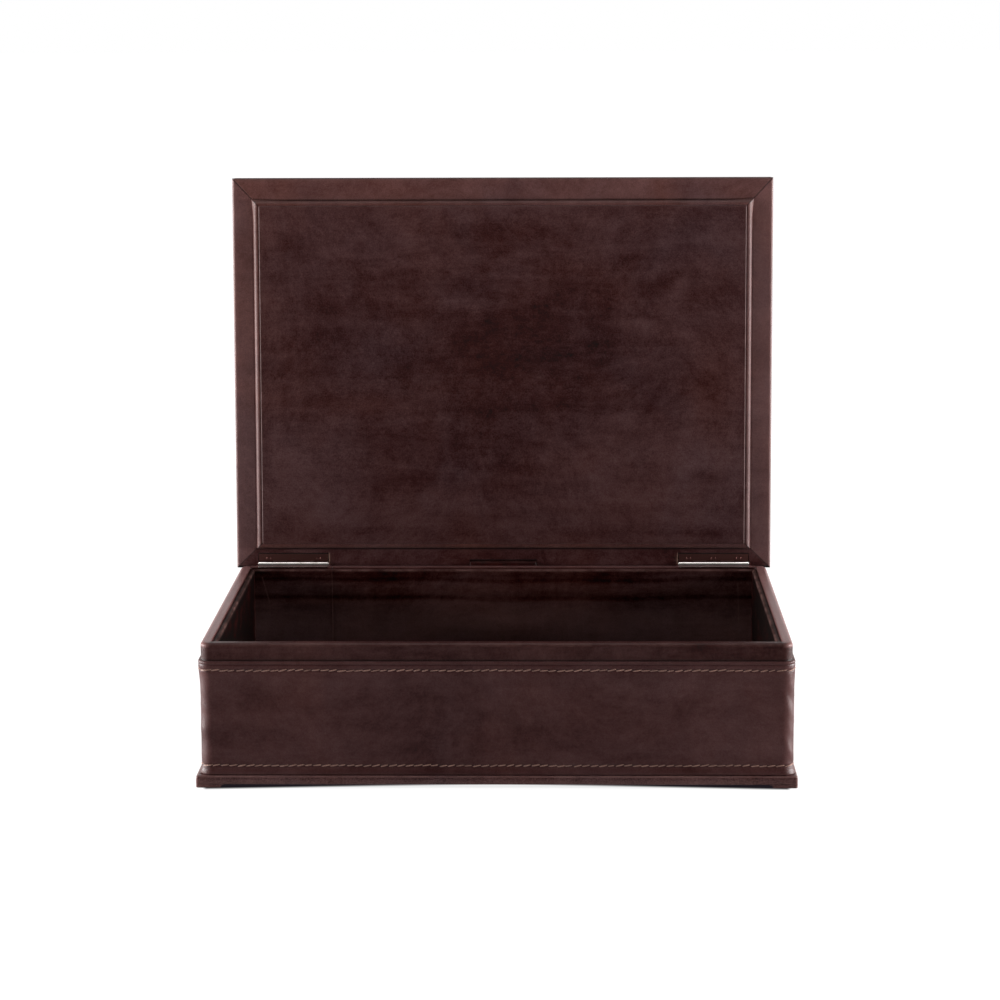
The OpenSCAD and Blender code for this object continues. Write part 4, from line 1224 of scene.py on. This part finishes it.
def buildCover():
    # Leather over the lid's top and edges, hollow below; the top swells by less than half a millimetre.
    v = lid
    top, low, r, t = sizes["lidTop"], sizes["lidFace"] + v["skirt"], v["topRadius"], v["leather"]
    rounding = withMasks(arc((r, top - r), r, 90, 180, 6), (0.1, 0.5, 1, 1, 1, 0.6, 0.2))
    skirt = [(0, z, 0.0) for z in np.linspace(top - r, low, 5)[1:-1]] + [(0, low, 0.8)]
    profile = rounding + skirt + [(t, low, 0.8), (t, top - t, 0.0)]
    n = v["notchHalf"]
    points, faces, mask, level = slab(
        sizes["lidWidth"], sizes["lidDepth"], v["corner"], profile, 6.0, 5,
        extraX=bothSides((n - 0.01, n + 0.01)), middle=(0, sizes["lidMiddle"]))
    x, y = points[:, 0], points[:, 1]
    ax, ay = 2 * x / sizes["lidWidth"], 2 * (y - sizes["lidMiddle"]) / sizes["lidDepth"]
    swell = clip01((1 - ax ** 4) * (1 - ay ** 4))
    waves = ripple(x, (0.5, 190.0, 0.2), (0.2, 61.0, 1.0)) * ripple(y, (1.0, 150.0, 0.9))
    drop = v["crown"] * (1 - swell * (0.8 + 0.2 * waves))
    points[:, 2] -= (level == 0) * drop * (swell > 0.02)
    lowest = (np.abs(level - (len(rounding) + len(skirt) - 0.5)) < 1)
    inNotch = (np.abs(x) < n) & (y > 118) & lowest
    points[:, 2] = np.where(inNotch, v["notchTop"], points[:, 2])
    makePiece("lidCoverLeather", opened(points), faces, "lid", ["lid_cover"], "leather", "outerLeather",
              edge=mask)


def marginStrip(name, node, turn):
    # One side of the mitred frame under the lid: a grid from its inner to its outer edge, sunk a little at
    # the mitres and at the raised board, and turned away at the outer edge.
    v = lid
    outX, outY = (sizes[k] / 2 - v["rimGap"] for k in ("lidWidth", "lidDepth"))
    inX, inY = (sizes[k] / 2 + v["innerGap"] - v["raisedInset"] for k in ("raisedWidth", "raisedDepth"))
    my = sizes["lidMiddle"]
    sideways = turn in ("left", "right")
    sign = 1 if turn in ("right", "rear") else -1
    outHalf, inHalf = (outY, inY) if sideways else (outX, inX)
    outAt = sign * outX if sideways else my + sign * outY
    inAt = sign * inX if sideways else sign * inY
    e = 0.012
    ends = np.array([0.0, 0.0012, 0.0025, 0.004, 0.006, 0.009])
    u = np.concatenate([-1 + ends, spread(-1 + e, 1 - e, 0.016), (1 - ends)[::-1]])
    if turn == "rear":
        hingeEnds = [sizes["hingeX"] - v["hingeHalf"], sizes["hingeX"] + v["hingeHalf"]]
        cuts = bothSides(hingeEnds + [v["notchHalf"]])
        steps = (-0.006, -0.0035, -0.0015, -0.0001, 0.0001, 0.0015, 0.0035, 0.006)
        u = np.unique(np.round(np.concatenate([u, [c / outHalf + d for c in cuts for d in steps]]), 6))
    rr = v["rearRadius"] if turn == "rear" else v["marginRadius"]
    bend = 1 - rr * (1 - np.sin(np.radians(np.linspace(0, 90, 8)))) / abs(outAt - inAt)
    w = np.unique(np.round(np.concatenate([[0, 0.012, 0.03, 0.055], np.linspace(0.09, bend[0], 9), bend]), 6))
    uGrid, wGrid = np.meshgrid(u, w, indexing="ij")
    middleIn, middleOut = (0, my) if sideways else (0, 0)
    along = (1 - wGrid) * (middleIn + uGrid * inHalf) + wGrid * (middleOut + uGrid * outHalf)
    across = inAt + wGrid * (outAt - inAt)
    outerEdge = np.full(len(u), float(outAt))
    raw, lift, dark = np.zeros(uGrid.shape), np.zeros(uGrid.shape), np.zeros(uGrid.shape)
    if turn == "rear":
        inHinge = (np.abs(np.abs(u * outHalf) - sizes["hingeX"]) < v["hingeHalf"])
        inNotch = np.abs(u * outHalf) < v["notchHalf"]
        outerEdge = np.where(inHinge, v["hingeFront"], np.where(inNotch, v["notchFront"], outAt))
        across = inAt + wGrid * (outerEdge[:, None] - inAt)
        mitre = clip01((outAt - across) / (outAt - inAt)) * (outHalf - inHalf)
        nearEnd = clip01((np.abs(uGrid) * outHalf - (outHalf - 14)) / 14)
        along = uGrid * outHalf - np.sign(uGrid) * mitre * nearEnd
    fromOuter = np.abs(outerEdge[:, None] - across)
    cutHere = (np.abs(outerEdge - outAt) > 0.5)[:, None]
    turned = np.where(cutHere, 0.0, v["marginDrop"] / rr * roundOff(fromOuter, rr))
    toSeam = (1 - np.abs(uGrid)) * (0.5 * (inHalf + outHalf))
    toInner = np.abs(across - inAt)
    sink = v["marginSink"] * (bump(toSeam, 0, v["seamRadius"]) + 0.8 * bump(toInner, 0, v["seamRadius"]))
    swell = 0.06 * ripple(along, (1.0, 74.0, 0.5), (0.6, 31.0, 1.7))
    if turn == "rear":
        for side in (-1, 1):
            inner = side * (sizes["hingeX"] - v["hingeHalf"])
            behind = smoothStep(v["hingeFront"] - 1.5, v["hingeFront"] + 1, across)
            lip = bump(along, inner, 0.65) * ~cutHere * behind
            lift = lift + v["rawLift"] * lip
            raw = np.maximum(raw, 0.6 * lip * smoothStep(123.4, 120.5, across))
        # dark: painted shade along the rear strip's outer edge and the edges of its hinge and notch cuts, in
        # the gap between the lid and the collar.
        dark = cutHere * smoothStep(1.1, 0.2, fromOuter) + ~cutHere * smoothStep(2.1, 1.0, fromOuter)
    z = sizes["lidFace"] + turned + np.minimum(sink, 0.5) + np.maximum(swell, -0.02) * 0.5 - lift
    front = np.stack([across, along, z] if sideways else [along, across, z], -1)
    back = front.copy()
    back[..., 2] = sizes["lidFace"] + v["skirt"]
    points, faces = closedBetween(front, back)
    edge = 0.8 * bump(fromOuter, 0.9, 0.9) * ~cutHere
    if turn == "right":
        edge = clip01(edge + marks(along, across, scratches))
    # The mitre seams are dark joints; along the inner edge the darkening is painted shade.
    dark = clip01(dark + 0.90 * bump(toSeam, 0, 0.42) + innerPaintedShade[turn] * bump(toInner, 0, 0.5))
    doubled = {key: np.tile(grid.ravel(), 2) for key, grid in dict(edge=edge, raw=raw, dark=dark).items()}
    makePiece(name, opened(points), faces, "lid", [node], "leather", "marginLeather",
              tone=marginTone[turn], blush=marginBlush[turn], **doubled)


def buildRaised():
    # The raised board's face turns over a full round edge. At each corner the leather is mitred, and its foot
    # spreads out along the mitre as the stiff leather can't follow the step there.
    v = lid
    face, back, r = sizes["raisedFace"], sizes["lidFace"] + v["skirt"], v["raisedEdge"]
    outer = arc((r, face + r), r, 180, 270, 9)
    profile = [(0.0, back, 0.0), (0.0, face + r + 0.3, 0.0)]
    profile += [(x, z, 0.7 * bump(x, 0.9, 0.9)) for x, z in outer]
    dip, sunk = 3.4, face + v["gutter"]
    profile += [(dip, face + 0.06, 0.0), (dip + 0.18, sunk, 0.0), (dip + 0.5, sunk, 0.0)]
    width, depth = (sizes[k] - 2 * v["raisedInset"] for k in ("raisedWidth", "raisedDepth"))
    nearX, nearY = (bothSides([size / 2 - d for d in (1.5, 2.5, 4, 6, 9, 12)]) for size in (width, depth))
    points, faces, mask, level = slab(width, depth, 0.8, profile, 8.0, 3, extraX=nearX, extraY=nearY)
    x, y = np.abs(points[:, 0]), np.abs(points[:, 1])
    toX, toY = width / 2 - x, depth / 2 - y
    low = smoothStep(face + 1.2, face + r, points[:, 2]) * (level > 0)
    onX, onY = toX < r + 0.1, toY < r + 0.1
    far = np.where(points[:, 1] < 0, 1.0, 0.25)
    points[:, 0] += np.sign(points[:, 0]) * onX * low * v["tent"] * far * np.exp(-toY / v["tentReach"])
    points[:, 1] += np.sign(points[:, 1]) * onY * low * v["tent"] * far * np.exp(-toX / v["tentReach"])
    atStep = (level > 0) & (level < len(profile) - 2)
    seam = atStep * bump(toX - toY, 0, 0.28) * (np.maximum(toX, toY) < r + 0.6)
    # grooveShade: painted shade at the step's foot and in the gutter by the panel, full along the rear edge,
    # weaker along the front and almost none at the sides; the mitre seams are dark joints.
    grooveShade = clip01((level == 1) * 1.0 + (level == 2) * 0.6 + (level >= len(profile) - 3) * 0.9)
    grooveShade = grooveShade * np.where(toX < toY, 0.05, np.where(points[:, 1] > 0, 1.0, 0.40))
    makePiece("raisedBoard", opened(points), faces, "lid", ["lid_raised_board"], "leather", "marginLeather",
              edge=mask, dark=clip01(grooveShade + 0.9 * seam), tone=v["raisedTone"])


panel = dict(swell=0.16, wave=0.05, step=2.2, side=0.45)
panelTone = [
    # Across, up, half length, half width, slope, strength, in the open lid's own picture. The broad darkening
    # of the middle and the lighter lower corners are painted shade and light, as the side light falls off
    # towards the middle; the smaller spots are the leather's own patches.
    (-5.0, 8.0, 105.0, 66.0, 0, -0.24), (96.0, 29.5, 30.0, 5.5, -9, 0.17),
    (101.0, 59.0, 13.0, 5.0, 25, -0.15), (113.0, 61.0, 7.0, 2.2, 40, 0.14),
    (121.0, 86.0, 26.0, 12.0, -10, 0.12), (135.0, 69.0, 22.0, 3.0, -5, 0.09),
    (94.0, 38.5, 9.0, 2.0, -20, -0.12), (71.0, 21.5, 52.0, 2.0, -1, -0.08),
    (-106.0, -20.5, 56.0, 1.5, -4, -0.12), (0.0, -101.5, 160.0, 2.6, 0, -0.10),
    (61.0, -21.5, 6.0, 5.0, 0, -0.09), (42.0, -50.0, 15.0, 5.0, 30, -0.08),
    (-125.0, -65.0, 36.0, 30.0, 0, 0.18), (125.0, -65.0, 36.0, 30.0, 0, 0.14),
    (-9.0, 90.0, 42.0, 12.0, 0, -0.08), (-25.0, 46.0, 36.0, 4.0, 2, 0.08),
    (-26.0, 57.0, 13.0, 5.0, 0, -0.05), (131.0, -1.0, 9.0, 3.0, 0, -0.08),
    (135.0, -54.5, 13.0, 2.0, 0, -0.09), (80.0, 42.5, 9.0, 1.6, -12, 0.08),
    (-146.0, 0.0, 5.0, 90.0, 0, 0.07), (148.0, -20.0, 5.0, 60.0, 0, 0.10),
    (0.0, 105.5, 150.0, 2.4, 0, -0.06), (-60.0, -72.0, 30.0, 9.0, 12, -0.07),
    (20.0, 63.0, 60.0, 2.4, -3, 0.06), (15.0, -84.0, 44.0, 2.2, 2, 0.06),
    (108.0, -62.0, 22.0, 6.0, 18, 0.07), (-70.0, 70.0, 20.0, 3.0, -8, -0.05),
]
panelBlush = [
    (135.0, -13.0, 20.0, 38.0, 0, 0.9), (-86.0, -18.0, 28.0, 6.0, 0, 0.5),
    (-85.0, 18.0, 32.0, 26.0, 0, -0.7), (-133.0, 75.0, 26.0, 20.0, 0, -0.5),
    (-26.0, 55.0, 20.0, 10.0, 0, -0.5), (100.0, 84.0, 42.0, 18.0, 0, -0.5), (32.0, 13.0, 20.0, 8.0, 0, -0.5),
    (45.0, -55.0, 24.0, 9.0, 10, 0.4), (-30.0, -45.0, 10.0, 30.0, 0, -0.5),
]


def buildPanel():
    # A thin sheet glued on the raised board: its face is nearly flat, its edge is pared round. Slack leather
    # lies in shallow folds where the tone changes.
    face, back, r = sizes["panelFace"], sizes["raisedFace"] + lid["gutter"] + 0.05, lid["panelRadius"]
    profile = withMasks(arc((r, face + r), r, 270, 180, 5), (0.3, 0.7, 0.9, 0.7, 0.3, 0.0))
    profile += [(0, back, 0.0)]
    width = sizes["panelWidth"] - 2 * panel["side"]
    points, faces, mask, level = slab(width, sizes["panelDepth"], 0.8, profile, panel["step"], 3)
    x, y = points[:, 0], points[:, 1]
    fromEdge = np.minimum(width / 2 - np.abs(x), sizes["panelDepth"] / 2 - np.abs(y))
    calm = smoothStep(0.6, 9.0, fromEdge) * (level == 0)
    slow = ripple(x + 0.3 * y, (0.6, 130.0, 0.4), (0.4, 57.0, 1.2))
    slow = slow * ripple(y - 0.2 * x, (0.7, 98.0, 0.8), (0.3, 43.0, 2))
    tone = marks(x, -y, panelTone)
    points[:, 2] += calm * (0.05 + panel["wave"] * slow - panel["swell"] * tone)
    makePiece("lidPanel", opened(points), faces, "lid", ["lid_panel"], "leather", "panelLeather", edge=mask,
              tone=tone, blush=marks(x, -y, panelBlush))


buildCover()
for side in ("front", "rear", "left", "right"):
    marginStrip(side + "Margin", f"lid_{side}_margin", side)
buildRaised()
buildPanel()
print("lid ready")


# CAD pieces that keep their shape.

kept = dict(
    nickel=["left_hinge_box_leaf", "right_hinge_box_leaf", "left_hinge_pin", "right_hinge_pin"],
    lidLeaf=["left_hinge_lid_leaf", "right_hinge_lid_leaf"],
    screw=["box_hinge_screws", "lid_hinge_screws"],
    board=["bottom_board", "front_board", "rear_board", "left_board", "right_board"],
    collarLeather=["lid_board"], suede=["underside_lining"],
)
for finish, names in kept.items():
    for name in names:
        node = frame["nodes"][name]
        node.data.materials.clear()
        node.data.materials.append(materials[finish])
print("hinges and boards finished")
